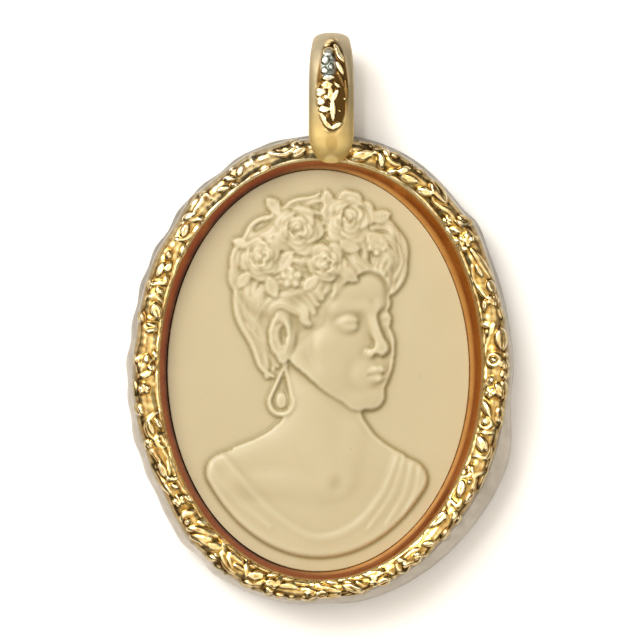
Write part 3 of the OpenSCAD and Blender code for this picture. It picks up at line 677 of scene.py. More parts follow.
# The floral band. A place is in hundredths of the way round, clockwise from the top, and mm out
# from the cameo's edge. Ridges are stems, petal edges and curls: half width, then the places they
# pass. Leaves go from foot to tip with a half width. Flowers, berries and rings have a radius.
RIDGES = [
    (0.12, [(2.3, 2.07), (2.3, 2.82), (2.3, 3.11)]), (0.12, [(2.7, 3.42), (3.1, 3.32), (3.5, 3.23)]),
    (0.12, [(4.8, 3.27), (5.3, 2.9), (5.8, 2.67), (6.3, 2.86)]),
    (0.12, [(9.4, 2.94), (10, 2.36), (10.8, 2.52), (11.5, 2.86), (12.4, 2.9), (13, 3.11)]),
    (0.12, [(10, 1.55), (10.8, 1.5), (11.8, 1.47), (13, 1.75)]),
    (0.12, [(12.5, 2.94), (13.2, 3.23), (14.2, 3.52), (14.3, 3.94)]),
    (0.18, [(15, 2.86), (15.9, 3.11), (16.7, 3.32), (17.6, 3.61)]),
    (0.12, [(14.6, 1.73), (15.9, 1.57), (17, 1.57), (18.4, 1.58)]),
    (0.12, [(16.2, 2.23), (16.7, 1.98), (17.6, 1.94), (18.5, 2.32), (19.1, 2.65)]),
    (0.12, [(21.2, 2.86), (21.6, 2.48), (22.3, 2.02), (23.4, 1.57)]),
    (0.13, [(21.7, 1.98), (22.2, 1.57), (22.8, 1.44)]),
    (0.12, [(28.9, 2.98), (29.2, 3.32), (29.7, 3.52)]), (0.12, [(30, 2.9), (30.2, 2.15), (30.3, 1.57)]),
    (0.12, [(31, 3.61), (31.6, 3.52), (32.2, 3.36), (32.8, 3.27)]),
    (0.12, [(31.2, 3.02), (31.6, 3.11), (32.1, 2.9), (32.2, 2.23), (32.3, 1.73)]),
    (0.12, [(33, 3.36), (33.4, 2.98), (33.8, 2.48), (34.2, 2.69), (34.8, 2.73)]),
    (0.12, [(33.6, 2.23), (34.1, 1.82), (34.4, 1.32), (35.6, 1.11), (36.3, 1.07)]),
    (0.13, [(36.1, 2.4), (36.6, 2.23), (36.5, 1.57), (36.2, 1.11)]),
    (0.13, [(40.2, 1.23), (40.9, 1.32), (41.7, 1.15)]), (0.12, [(40.7, 3.4), (41.1, 2.9), (41.3, 2.4)]),
    (0.15, [(41.6, 3.32), (42, 2.82), (42.5, 2.23)]), (0.12, [(41.3, 1.82), (41.9, 1.57), (42.6, 1.65)]),
    (0.12, [(42.7, 0.9), (43.2, 0.9), (44, 1.15), (44.7, 0.98), (45.7, 1.15)]),
    (0.12, [(44.3, 3.23), (44.1, 2.57), (44.3, 1.82)]),
    (0.15, [(44.6, 1.73), (45, 1.32), (46.2, 1.23), (47.3, 0.94), (48.2, 0.9)]),
    (0.12, [(46.2, 2.98), (46.5, 2.15), (46.9, 1.48)]),
    (0.15, [(46.6, 2.57), (47.1, 1.82), (47.8, 1.15)]), (0.17, [(48.4, 2.11), (49.1, 1.77), (50, 1.36)]),
    (0.12, [(50, 1.98), (50.5, 1.94), (50.8, 1.73)]), (0.18, [(51.7, 1.69), (52.3, 1.65), (52.9, 1.9)]),
    (0.13, [(50.8, 1.23), (51.4, 1.19), (52, 1.27)]), (0.12, [(50, 1.23), (50.5, 1.15), (50.8, 0.9)]),
    (0.13, [(54.5, 1.44), (55.1, 1.57), (55.5, 1.9)]), (0.12, [(54.2, 1.23), (54.5, 2.4), (55, 2.73)]),
    (0.12, [(55.7, 2.4), (56, 1.57), (56.3, 0.9)]), (0.12, [(56.2, 1.98), (56.6, 1.98), (56.9, 2.07)]),
    (0.17, [(56.6, 1.44), (57.2, 1.36), (57.8, 1.4)]), (0.12, [(57, 2.4), (57.5, 1.98), (57.8, 1.48)]),
    (0.12, [(56.6, 2.73), (57.2, 2.69), (58, 2.32), (58.4, 1.73)]),
    (0.12, [(58.2, 1.73), (58.5, 1.32), (59, 0.98)]), (0.12, [(58.5, 1.48), (58.9, 1.9), (59.3, 2.32)]),
    (0.12, [(58.7, 1.32), (59.1, 1.65), (59.5, 2.15), (60, 2.65)]),
    (0.22, [(59.8, 1.73), (60.2, 2.32), (60.9, 2.94)]),
    (0.2, [(59.6, 0.98), (60.1, 1.32), (60.9, 1.98), (61.5, 2.73)]),
    (0.17, [(62.4, 2.73), (62.6, 2.15), (62.4, 1.32)]),
    (0.2, [(64.8, 2.4), (65.7, 2.73), (66.4, 2.94), (67.3, 3.11)]),
    (0.12, [(65.7, 2.32), (66.1, 1.82), (66.7, 1.48), (67.5, 1.32), (68.2, 1.57)]),
    (0.15, [(63.5, 0.9), (64.8, 1.15), (66.1, 1.15), (67.3, 0.98), (68.3, 0.82)]),
    (0.12, [(67, 2.65), (67.2, 2.23), (67.8, 2.32), (68.5, 2.65)]),
    (0.12, [(68.4, 0.82), (68.5, 1.57), (68.9, 1.98), (69.4, 1.73), (69.5, 0.9)]),
    (0.13, [(69.3, 2.15), (69.7, 2.48), (70.4, 2.57), (71, 2.15), (71.4, 1.4), (71.5, 0.73)]),
    (0.13, [(71.6, 0.9), (72.7, 0.98), (73.8, 0.98), (75, 0.9)]),
    (0.15, [(74.6, 2.73), (74.6, 2.15), (75, 1.57)]), (0.13, [(75, 2.9), (75.5, 2.82), (76.1, 2.86)]),
    (0.15, [(75, 2.61), (75.6, 2.23), (75.9, 1.57), (76.1, 1.07)]),
    (0.13, [(75.8, 0.9), (76.5, 0.9), (77.2, 0.98), (78.2, 0.9)]),
    (0.12, [(79.4, 2.4), (79.4, 1.57), (79.4, 1.07)]), (0.12, [(80.9, 2.9), (81.3, 2.15), (80.9, 1.4)]),
    (0.15, [(82.1, 2.73), (82.4, 2.07), (82.6, 1.65), (83, 1.69)]),
    (0.15, [(83, 0.9), (83.7, 0.98), (84.4, 1.23), (85, 0.98)]),
    (0.13, [(86.2, 2.32), (86.6, 1.57), (87.2, 1.32), (88, 1.23)]),
    (0.15, [(87.5, 1.23), (87.9, 1.23), (88.3, 1.27)]),
    (0.12, [(87.5, 2.65), (88, 2.4), (88.5, 1.57), (88.8, 1.23)]),
    (0.12, [(88.5, 0.9), (89.4, 1.07), (90.5, 0.98), (91.4, 0.9), (92.3, 0.98)]),
    (0.12, [(89.1, 2.94), (89.6, 2.98), (90, 3.23), (90.2, 3.11)]),
    (0.12, [(88.9, 2.4), (89.6, 2.4), (90.1, 2.57), (90.2, 2.98)]),
    (0.12, [(90.4, 3.07), (90.5, 2.57), (90.5, 1.98)]),
    (0.14, [(93.6, 0.82), (94.1, 1.07), (95, 1.02), (95.9, 1.15)]),
    (0.13, [(94.8, 2.15), (94.9, 2.65), (95.2, 3.11)]),
    (0.14, [(96.3, 2.48), (96.9, 2.07), (97.5, 1.9), (98.1, 2.23), (98.1, 2.82), (97.8, 3.23)])]

LEAVES = [
    ((2.6, 1.47), (4.2, 2.72), 0.46), ((4.7, 2.9), (5.2, 1.57), 0.35), ((5.6, 1.4), (6.4, 2.4), 0.25),
    ((6.7, 1.98), (8.2, 2.65), 0.35), ((8.5, 2.02), (9.7, 2.82), 0.38), ((8.8, 3.52), (10.8, 3.11), 0.58),
    ((12.2, 3.32), (13, 4.11), 0.29), ((5.3, 3.36), (6, 3.65), 0.29), ((6.5, 2.15), (7, 3.15), 0.33),
    ((7.5, 3.4), (8.2, 3.9), 0.23), ((3.9, 3.15), (3.5, 3.65), 0.21), ((12.5, 2.9), (13.3, 4.4), 0.38),
    ((12.5, 1.65), (13.3, 2.73), 0.33), ((13.5, 1.57), (14, 2.32), 0.25),
    ((14.4, 1.82), (14.8, 2.57), 0.21), ((16.3, 2.65), (17.3, 2.82), 0.23),
    ((17.7, 3.23), (18.8, 3.32), 0.38), ((19.1, 2.4), (20, 2.15), 0.25), ((20, 3.48), (21.3, 4.07), 0.32),
    ((21, 1.57), (21.3, 2.4), 0.23), ((21.6, 3.32), (23.4, 3.23), 0.62),
    ((25.8, 3.32), (27.3, 3.57), 0.38), ((26, 2.65), (26.9, 3.23), 0.33),
    ((26.5, 2.57), (27.2, 3.32), 0.25), ((25.5, 2.4), (26.4, 1.48), 0.33),
    ((27.5, 1.48), (28.4, 2.4), 0.25), ((27.9, 1.48), (28.8, 2.48), 0.27),
    ((27.9, 3.15), (29.5, 3.73), 0.5), ((30.5, 1.65), (31.6, 2.82), 0.38),
    ((30.9, 1.65), (31.8, 2.48), 0.25), ((33, 3.48), (35, 3.48), 0.42),
    ((34.5, 1.65), (35.9, 1.98), 0.42), ((35, 2.9), (36.1, 2.69), 0.23),
    ((36.5, 1.23), (37.1, 1.61), 0.21), ((37, 2.32), (37.8, 2.65), 0.21), ((37.1, 2.9), (38, 3.23), 0.33),
    ((37.5, 1.48), (38, 1.98), 0.25), ((37.5, 1.65), (39.4, 1.23), 0.46),
    ((38.5, 2.73), (39.5, 2.98), 0.33), ((40, 2.48), (40.8, 1.82), 0.25),
    ((42.7, 1.82), (43.3, 1.57), 0.21), ((44.4, 2.48), (45.5, 2.4), 0.38),
    ((44.7, 1.77), (46.4, 1.15), 0.29), ((46.6, 2.4), (48.1, 1.57), 0.33),
    ((46.3, 2.82), (48.2, 2.4), 0.25), ((48.2, 2.4), (49.6, 2.4), 0.25),
    ((49.3, 2.07), (50.3, 2.15), 0.38), ((48.4, 1.23), (49.6, 0.98), 0.25),
    ((51.7, 2.73), (52.3, 2.82), 0.25), ((52.1, 0.9), (52.9, 1.23), 0.21),
    ((52.5, 2.73), (53.3, 2.9), 0.22), ((53, 0.82), (53.5, 2.4), 0.33), ((53.4, 0.73), (54.1, 1.4), 0.25),
    ((53.5, 1.73), (54.2, 2.15), 0.38), ((54.5, 1.57), (55.6, 2.23), 0.38),
    ((55, 2.73), (55.9, 3.4), 0.42), ((57.5, 3.15), (58.3, 3.32), 0.21),
    ((55.4, 0.82), (55.9, 1.32), 0.33), ((58.3, 0.82), (59.2, 1.07), 0.29),
    ((58.3, 2.73), (59.1, 3.23), 0.29), ((60.9, 0.9), (61.5, 1.57), 0.38), ((63.1, 0.9), (64, 1.4), 0.25),
    ((64.7, 1.48), (65.3, 1.98), 0.23), ((65.5, 1.32), (65.9, 2.15), 0.27),
    ((66, 2.15), (67.3, 2.15), 0.33), ((68.5, 0.98), (69.4, 1.4), 0.25),
    ((69.7, 2.07), (70.8, 2.23), 0.25), ((70, 1.23), (71, 1.57), 0.29),
    ((71.4, 2.82), (72.5, 3.23), 0.38), ((72.9, 3.23), (74.3, 3.23), 0.23),
    ((75.5, 3.15), (76.3, 3.07), 0.25), ((75, 1.57), (75.6, 1.57), 0.42),
    ((75.7, 2.15), (76.4, 1.98), 0.25), ((76.1, 1.23), (76.7, 1.32), 0.25),
    ((78.6, 1.32), (78.2, 2.4), 0.23), ((78.8, 1.4), (78.9, 2.4), 0.2), ((79.5, 1.4), (80.7, 2.07), 0.54),
    ((78.9, 2.9), (79.9, 3.15), 0.29), ((81.5, 1.73), (82, 2.23), 0.33),
    ((83.4, 1.98), (84.4, 1.82), 0.29), ((82.9, 2.48), (84.1, 2.4), 0.29),
    ((84.5, 2.15), (85.1, 2.4), 0.29), ((85.1, 1.07), (86.1, 1.4), 0.32),
    ((86.6, 1.98), (87.8, 2.15), 0.33), ((87.8, 2.82), (88.9, 2.15), 0.25),
    ((88.5, 1.73), (89, 1.23), 0.2), ((89.1, 3.32), (90.1, 3.48), 0.21),
    ((91.3, 2.07), (92.3, 1.57), 0.25), ((92.3, 2.48), (93.1, 1.82), 0.25),
    ((92.4, 1.65), (93, 1.32), 0.23), ((93.3, 1.98), (94.1, 2.4), 0.25), ((95, 1.23), (96, 1.4), 0.22),
    ((97.9, 1.65), (99.1, 2.15), 0.38)]

FLOWERS = [
    ((4.6, 3.23), 0.88), ((12, 2.23), 0.5), ((14.1, 2.73), 0.79), ((19.3, 3.11), 0.62), ((24.5, 3.4), 0.5),
    ((25.3, 3.48), 0.5), ((26.8, 2.15), 0.58), ((33.4, 1.82), 0.5), ((41.7, 2.32), 0.46),
    ((45.6, 2.07), 0.5), ((50.7, 2.57), 0.71), ((53.7, 2.9), 0.5), ((63.8, 1.98), 0.62), ((69, 2.82), 0.5),
    ((73.5, 2.32), 0.58), ((82, 3.02), 0.5), ((98.4, 2.69), 0.58)]

BERRIES = [
    ((2.2, 1.23), 0.15), ((7, 3.52), 0.13), ((24.1, 2.44), 0.35), ((23.7, 3.57), 0.21),
    ((25.8, 2.23), 0.23), ((29.3, 2.02), 0.38), ((34.4, 2.23), 0.22), ((37.6, 2.48), 0.18),
    ((42.9, 2.15), 0.25), ((54.8, 3.11), 0.13), ((57.1, 3.19), 0.23), ((58.5, 2.48), 0.15),
    ((60.5, 3.44), 0.13), ((62, 2.36), 0.29), ((69, 1.69), 0.17), ((93.2, 2.73), 0.18)]

RINGS = [
    ((24.1, 2.4), 0.71), ((29.4, 2.07), 0.65), ((43.1, 2.15), 0.67)]


def cast_leaf(along, across, half_width, cupped):
    """A leaf from 0 to 1 along it: either cupped with a raised edge, or domed with a sunk midrib."""
    half = 1.15 * half_width * np.sin(np.pi * np.clip(along, 0, 1) ** 0.85) ** 0.7
    far = np.abs(across) / np.maximum(half, 1e-4)
    ribs = 0.04 * np.cos(2 * np.pi * (3 * along - 0.9 * np.abs(across) / half_width)) * (1 - far)
    if cupped:
        body = 0.56 + 0.26 * far ** 2 + 0.10 * hill(across / 0.07)
    else:
        body = 0.62 + 0.22 * dome(far) - 0.20 * hill(across / 0.055)
    return np.where((far < 1) & (along > 0) & (along < 1), (body + ribs) * smooth((1 - far) * 3), 0)


def cast_flower(x, y, radius):
    far, a = np.hypot(x, y) / radius, np.arctan2(y, x)
    lobe = np.abs(np.cos(2.5 * a)) ** 0.5
    petals = smooth((0.62 + 0.42 * lobe - far) * 4) * (0.28 + 0.60 * lobe) * (0.72 + 0.24 * far)
    return np.maximum(petals, 0.9 * dome(far / 0.22))


def leaf_piece(foot, tip, half_width, cupped):
    way = tip - foot
    size = way @ way

    def piece(x, y):
        dx, dy = x - foot[0], y - foot[1]
        return cast_leaf((dx * way[0] + dy * way[1]) / size, (dy * way[0] - dx * way[1]) / size ** 0.5,
                         half_width, cupped)
    return piece


def ridge_piece(points, half_width):
    curve = smooth_curve(points, 4 * len(points)) if len(points) > 2 else points

    def piece(x, y):
        far = near_curve(x, y, curve, lambda t: half_width * (0.75 + 0.5 * np.sin(np.pi * t)))
        return (0.12 + 1.2 * half_width) * smooth((1.7 - np.abs(far)) / 0.9)
    return piece


def round_piece(at, shape):
    return lambda x, y: shape(np.hypot(x - at[0], y - at[1]))


def cast_pieces(leaves, flowers, berries, ridges, rings, scale):
    """Every piece as its middle, its reach, its shape and whether it is laid on top of the rest."""
    pieces = []
    for i, (foot, tip, half_width) in enumerate(leaves):
        foot, tip = np.array(foot) * scale, np.array(tip) * scale
        reach = np.abs(tip - foot).max() / 2 + 1.2 * half_width
        pieces.append(((foot + tip) / 2, reach, leaf_piece(foot, tip, half_width, i % 3 == 0), False))
    for at, radius in flowers:
        at = np.array(at) * scale
        shape = lambda x, y, at=at, radius=radius: cast_flower(x - at[0], y - at[1], radius)
        pieces.append((at, 1.1 * radius, shape, False))
    for at, radius in berries:
        at = np.array(at) * scale
        pieces.append((at, radius, round_piece(at, lambda far, radius=radius: dome(far / radius)), False))
    for half_width, points in ridges:
        points = np.array(points) * scale
        middle = points.mean(0)
        reach = np.abs(points - middle).max() + 3 * half_width
        pieces.append((middle, reach, ridge_piece(points, half_width), True))
    for at, radius in rings:
        at = np.array(at) * scale
        ring = round_piece(at, lambda far, radius=radius: 0.4 * hill((far / radius - 0.85) / 0.17))
        pieces.append((at, 1.4 * radius, ring, True))
    return pieces


def raise_pieces(ground, x, y, pieces, whole_way=1e9):
    """Raises the pieces on a ground: the highest counts, and ridges are laid on top of it.

    x holds one value a row, and its way may come round again to where it starts.
    """
    for middle, reach, shape, on_top in pieces:
        dx = (x[:, 0] - middle[0] + whole_way / 2) % whole_way - whole_way / 2
        near = np.abs(dx) < reach
        part = shape(dx[near, None] + middle[0] + 0 * y[near], y[near])
        ground[near] = ground[near] + part if on_top else np.maximum(ground[near], part)
    return ground


def band_relief(share, out, way_step):
    """Heights of the cast ornament over the band, from 0 to about 1."""
    x, y = share[:, None] * way_step + 0 * out, out
    around = 2 * np.pi * share[:, None] / 100
    swell = 0.08 * np.sin(23 * around + 1.3 * y) + 0.06 * np.sin(37 * around - 2.1 * y + 1)
    ground = 0.20 + swell + 0.05 * np.cos(3.1 * x + 2 * y) * np.cos(4.7 * x - 3 * y)
    scale, whole_way = np.array([way_step, 1]), 100 * way_step
    pieces = cast_pieces(LEAVES, FLOWERS, BERRIES, RIDGES, RINGS, scale)
    return raise_pieces(ground, x, y, pieces, whole_way)


BAND_POINTS = 54
WALL_POINTS = 7
LEDGE_BEVEL = 0.1

# The plain outer side below the band: share of the way out, of SIDE_W inwards and of the height
SIDE_ROWS = [(0.6, 0, 0.84), (0.85, 0, 0.70), (1, 0, 0.5), (1, 0.1, 0.34), (1, 0.3, 0.17), (1, 0.7, 0.06),
             (1, 1.3, 0)]

# Soft flutes on the side: how many go round, and their height as a share of SIDE_W, with the inset
# that keeps them within the part's size
SIDE_WAVES, RIPPLE_SHARE, RIPPLE_INSET = 33, 0.16, 0.01

# The band value of the side. It runs from -1 to 0 up the wall and from 0 to 1 across the band.
PAST_BAND = 1.2

# On the left a dark slot shows between wall and cameo, and elsewhere the wall nearly meets it
SLOT_TURN, SLOT_SHARE, CLOSE_GAP = 253, 0.5, 0.04

# The relief round the rim is averaged past its joint by this many stations
OVERLAP = 24


def wall_columns(turn, lip):
    """The ledge and the wall: each column's way out and height, and its depth and band values."""
    one = np.ones(STATIONS)
    inner = -LEDGE_W - GAP
    ledge = [(inner, 0), (inner, LEDGE_T - LEDGE_BEVEL), (inner + LEDGE_BEVEL, LEDGE_T), (0, LEDGE_T)]
    columns = [(one * out, one * z, LEVEL * one, -one) for out, z in ledge]
    slot = smooth((np.cos(np.radians(turn - SLOT_TURN)) - 0.35) / 0.3)
    for t in np.linspace(0, 1, WALL_POINTS):
        foot = (GAP - CLOSE_GAP) * (SLOT_SHARE * slot - 1) * (1 - t) ** 4
        bowed = lip * (t - 0.06 * np.sin(np.pi * t))
        columns.append((bowed + foot, one * (GROUND_Z + WALL_H * t), LEVEL * one, (t - 1) * one))
    return columns


def band_columns(share, way_step, lip, wide):
    """The band's columns, with the cast ornament raised square to its rounded section."""
    across = np.linspace(0, 1, BAND_POINTS)
    crown = crown_share(across)
    rise = np.gradient(crown, across) * CROWN_H
    out_d, out_z = -rise[None, :] / wide[:, None], np.ones((STATIONS, BAND_POINTS))
    size = np.hypot(out_d, out_z)
    plain = lip[:, None] + wide[:, None] * across
    fade = np.minimum(1, np.minimum(0.4 + 6 * across, 0.25 + 9 * (1 - across)))
    relief = softened(band_relief(share, GAP + plain, way_step), 2) * fade
    d = plain + out_d / size * relief * ORNAMENT_H
    z = LIP_Z + CROWN_H * crown + out_z / size * relief * ORNAMENT_H
    # Depth values for the gilding's painted shade in the recesses and painted highlight on what stands out
    around = np.vstack([relief[-OVERLAP:], relief, relief[:OVERLAP]])
    under = softened(around, 14)[OVERLAP:-OVERLAP] - relief
    depth = LEVEL + 0.5 * np.clip(under / 0.22, -1, 1)
    return [(d[:, i], z[:, i], depth[:, i], np.full(STATIONS, across[i])) for i in range(BAND_POINTS)]


def side_columns(turn, share, edge, side):
    """The side's columns, from under the band down to the floor."""
    one = np.ones(STATIONS)
    on_left = np.clip(-np.sin(np.radians(turn - 20)), 0, 1)
    ripple = on_left * np.cos(2 * np.pi * SIDE_WAVES * share / 100)
    reach = side + SIDE_W * (RIPPLE_SHARE * ripple - RIPPLE_INSET)
    edge_z = LIP_Z + CROWN_H * BAND_ROWS[-1, 1]
    return [(edge + reach * out - SIDE_W * inwards, one * edge_z * high, LEVEL * one, PAST_BAND * one)
            for out, inwards, high in SIDE_ROWS]


def make_rim():
    turn, way_round = even_stations()
    share = np.linspace(0, 100, STATIONS + 1)[:-1]
    lip, wide, side = rim_widths(turn)
    way_step = (way_round + 2 * np.pi * (WALL_W + BAND_W / 2)) / 100
    columns = (wall_columns(turn, lip) + band_columns(share, way_step, lip, wide)
               + side_columns(turn, share, lip + wide, side))
    points = np.stack([on_oval(turn, column[0], column[1]) for column in columns], 1)
    depths, bands = [np.stack([column[k] for column in columns], 1).ravel() for k in (2, 3)]
    n, m = points.shape[:2]
    index = np.arange(n * m).reshape(n, m)
    after = np.roll(index, -1, axis=0)
    faces = np.stack([after, np.roll(after, -1, axis=1), np.roll(index, -1, axis=1), index], -1)
    rim = mesh_piece("cast_rim", points.reshape(-1, 3), faces.reshape(-1, 4),
                     {"depth": depths, "band": bands})
    column = np.tile(np.arange(m), n)
    finish = np.where(column < WALL_POINTS + 3, 1, np.where(column >= m - len(SIDE_ROWS) - 1, 2, 0))
    rim.data.polygons.foreach_set("material_index", finish.astype(np.int32))
    return rim


# Rows of the bail's foot over the front of the rim: share of the way from the rim's outside to
# the cameo, share of the way down to the lip, share of BAIL_FOOT_W and of BAIL_T
FOOT_ROWS = [
    (0, 0, 1, 1), (0.20, 0.03, 0.97, 1), (0.36, 0.12, 0.91, 1), (0.50, 0.30, 0.82, 0.95),
    (0.62, 0.56, 0.68, 0.85), (0.70, 0.80, 0.54, 0.7), (0.75, 0.95, 0.36, 0.5)]

# How full the strap's oval section is, across and through: 1 is an ellipse, and less is squarer
ROUND_ACROSS, ROUND_THROUGH = 0.85, 0.9

# The strap narrows close to its top, the more so the higher the power
NARROWING = 6

# Chased pieces on the front of the bail, in mm right of its middle and down from its top
BAIL_LEAVES = [
    ((-0.85, 1.9), (0.3, 1.65), 0.26), ((0.35, 1.35), (1.2, 1.6), 0.22), ((0.25, 1.95), (0.95, 2.7), 0.20),
    ((-0.95, 2.6), (0.3, 2.4), 0.36), ((-1.0, 3.3), (-0.2, 3.05), 0.30), ((-1.0, 4.0), (-0.3, 4.1), 0.30),
    ((-0.9, 4.75), (0.4, 4.6), 0.28), ((0.5, 2.5), (1.35, 3.3), 0.26), ((0.5, 3.3), (1.3, 4.5), 0.24),
    ((-1.0, 5.5), (0.15, 5.3), 0.42), ((-1.75, 6.2), (-0.5, 6.0), 0.44), ((-1.75, 7.0), (-0.6, 7.1), 0.42),
    ((-0.15, 5.5), (0.05, 7.3), 0.30), ((0.1, 6.8), (0.15, 9.1), 0.32), ((-1.3, 7.8), (-0.1, 7.8), 0.36),
    ((-1.15, 8.2), (-0.5, 9.2), 0.30), ((0.65, 5.8), (0.15, 7.1), 0.22), ((0.35, 5.2), (0.9, 5.7), 0.20),
    ((-0.95, 8.9), (0.2, 9.85), 0.28), ((0.0, 9.75), (1.15, 9.1), 0.26), ((-1.0, 9.8), (-0.1, 10.15), 0.18)]
BAIL_BERRIES = [((-0.05, 3.75), 0.26), ((-0.5, 6.6), 0.30), ((1.35, 6.8), 0.12), ((0.85, 8.0), 0.10)]
BAIL_RIDGES = [
    (0.11, [(-0.7, 2.9), (-0.3, 2.7), (0.1, 2.9)]), (0.10, [(0.7, 4.3), (1.0, 4.8), (1.2, 5.4)]),
    (0.11, [(1.45, 5.0), (1.6, 7.0), (1.5, 9.2)]),
    (0.10, [(-1.2, 5.3), (-1.6, 6.3), (-1.5, 7.6), (-1.2, 8.6)]),
    (0.10, [(-1.3, 6.5), (-0.7, 6.8), (-0.9, 7.4)]), (0.10, [(-0.9, 8.0), (-0.4, 8.3), (-0.6, 8.8)])]

# The oval field of the chasing on the bail: middle and half sizes, in the same mm
FIELD_AT, FIELD_SIZE = (0.1, 5.8), (1.72, 4.7)

# Where a painted grey reflection lies on the chasing, and two marks on the foot, one darker and
# one a painted reflection: middle and half sizes in the same mm
GREY_REFLECTION_AT, GREY_REFLECTION_SIZE = (-0.32, 3.6), (0.80, 1.5)
DARKER_PATCH_AT, DARKER_PATCH_SIZE = (0.0, 11.0), (0.7, 0.75)
FOOT_REFLECTION_AT, FOOT_REFLECTION_SIZE = (-0.05, 12.4), (0.85, 0.6)


def patch_share(x, down, at, size):
    """From 1 inside an oval patch to 0 outside it."""
    return smooth(2.2 - 2 * np.hypot((x - at[0]) / size[0], (down - at[1]) / size[1]))


def bail_rows():
    """The bail's path from its back leg over the top to its foot: Y, Z, width and thickness."""
    foot_reach = sum(rim_widths(np.zeros(1)))[0]
    rim_top = POCKET[1] + foot_reach
    front, back = CROWN_Z + BAIL_T / 2 - GAP, BAIL_LIFT + BAIL_T / 2
    radius = (front - back) / 2
    arc_y = rim_top + BAIL_RISE - BAIL_T / 2 - radius

    def strap_row(y, z):
        climb = max(0, (y - rim_top) / (BAIL_RISE - BAIL_T / 2))
        return y, z, BAIL_FOOT_W + (BAIL_W - BAIL_FOOT_W) * climb ** NARROWING, BAIL_T

    rows = [strap_row(rim_top + (arc_y - rim_top) * s, back) for s in (-0.12, 0.3, 0.7)]
    for a in np.radians(np.arange(0, 181, 18)):
        rows.append(strap_row(arc_y + radius * np.sin(a), back + radius * (1 - np.cos(a))))
    rows += [strap_row(rim_top + (arc_y - rim_top) * s, front) for s in (0.75, 0.5, 0.25)]
    for out, down, wide, thick in FOOT_ROWS:
        y, z = rim_top - foot_reach * out, front - (front - LIP_Z) * down
        rows.append((y, z, BAIL_FOOT_W * wide, BAIL_T * thick))
    return np.array(rows), rim_top + BAIL_RISE


BAIL_RINGS, BAIL_FRONT_POINTS, BAIL_BACK_POINTS = 300, 57, 17


def even_rows(rows, count):
    """A smooth path through the rows, cut into even lengths."""
    fine = smooth_curve(rows, 60 * len(rows))
    way = np.concatenate([[0], np.cumsum(np.linalg.norm(np.diff(fine[:, :2], axis=0), axis=1))])
    return np.stack([np.interp(np.linspace(0, way[-1], count), way, column) for column in fine.T], 1)


def strap_section():
    """Across and up round the strap, from -1 to 1, closest together on the front."""
    t = np.linspace(-1, 1, BAIL_FRONT_POINTS)
    across = 0.6 * t + 0.4 * np.sin(np.pi * t / 2)
    back = np.linspace(1, -1, BAIL_BACK_POINTS)[1:-1]
    across = np.concatenate([across, np.sin(np.pi * back / 2)])
    up = (1 - np.clip(np.abs(across), 0, 1) ** (2 / ROUND_ACROSS)) ** (ROUND_THROUGH / 2)
    up[BAIL_FRONT_POINTS:] *= -1
    return across, up


def chased_front(x, down, on_front):
    """The chasing on the bail's front: how far it stands out, its depth values and where it lies."""
    in_field = np.hypot((x - FIELD_AT[0]) / FIELD_SIZE[0], (down - FIELD_AT[1]) / FIELD_SIZE[1])
    chased = smooth((1 - in_field) / 0.14) * on_front
    pieces = cast_pieces(BAIL_LEAVES, [], BAIL_BERRIES, BAIL_RIDGES, [], np.ones(2))
    ground = 0.14 + 0.05 * np.cos(4 * x) * np.cos(3 * down + 1)
    relief = raise_pieces(ground.T.copy(), x.T, down.T, pieces).T
    # Eased at the top, so that nothing passes the part's own size
    lift = 0.6 * np.tanh((0.95 * relief - 0.26) / 0.6) * chased * ORNAMENT_H
    # Depth values for the chasing's painted highlight and painted shade
    return lift, LEVEL + 0.5 * np.clip((0.5 - relief) / 0.3, -1, 1) * chased, chased


def make_bail():
    rows, top = bail_rows()
    rows = even_rows(rows, BAIL_RINGS)
    y, z, wide, thick = [rows[:, k:k + 1] for k in range(4)]
    way = np.gradient(rows[:, :2], axis=0)
    way /= np.linalg.norm(way, axis=1, keepdims=True)
    across, up = strap_section()
    x = wide / 2 * across
    down = np.broadcast_to(top - y, x.shape).copy()
    on_front = (up > 0) & (z > LIP_Z - 0.5)
    lift, depth, chased = chased_front(x, down, on_front)
    # Masks for the painted grey reflection on the chasing, the painted reflection on the foot and the darker
    # patch on the foot
    values = {"depth": depth, "chased": chased,
              "grey_reflection": patch_share(x, down, GREY_REFLECTION_AT, GREY_REFLECTION_SIZE) * on_front,
              "painted_reflection": patch_share(x, down, FOOT_REFLECTION_AT, FOOT_REFLECTION_SIZE) * (up > 0),
              "darker_patch": patch_share(x, down, DARKER_PATCH_AT, DARKER_PATCH_SIZE) * (up > 0)}
    h = thick / 2 * up + lift
    points = np.stack([BAIL_X + CAMEO_AT[0] + x, CAMEO_AT[1] + y + way[:, 1:] * h, z - way[:, :1] * h], -1)
    index = np.arange(x.size).reshape(x.shape)
    after = np.roll(index, -1, axis=1)
    faces = np.stack([index[:-1], after[:-1], after[1:], index[1:]], -1).reshape(-1, 4).tolist()
    faces += [list(index[0][::-1]), list(index[-1])]
    return mesh_piece("cast_bail", points.reshape(-1, 3), faces,
                      {key: value.ravel() for key, value in values.items()})


def linear(code):
    """An sRGB hex value as a linear colour with alpha."""
    parts = np.array([int(code[k:k + 2], 16) for k in (1, 3, 5)]) / 255
    parts = np.where(parts <= 0.04045, parts / 12.92, ((parts + 0.055) / 1.055) ** 2.4)
    return (*parts, 1.0)


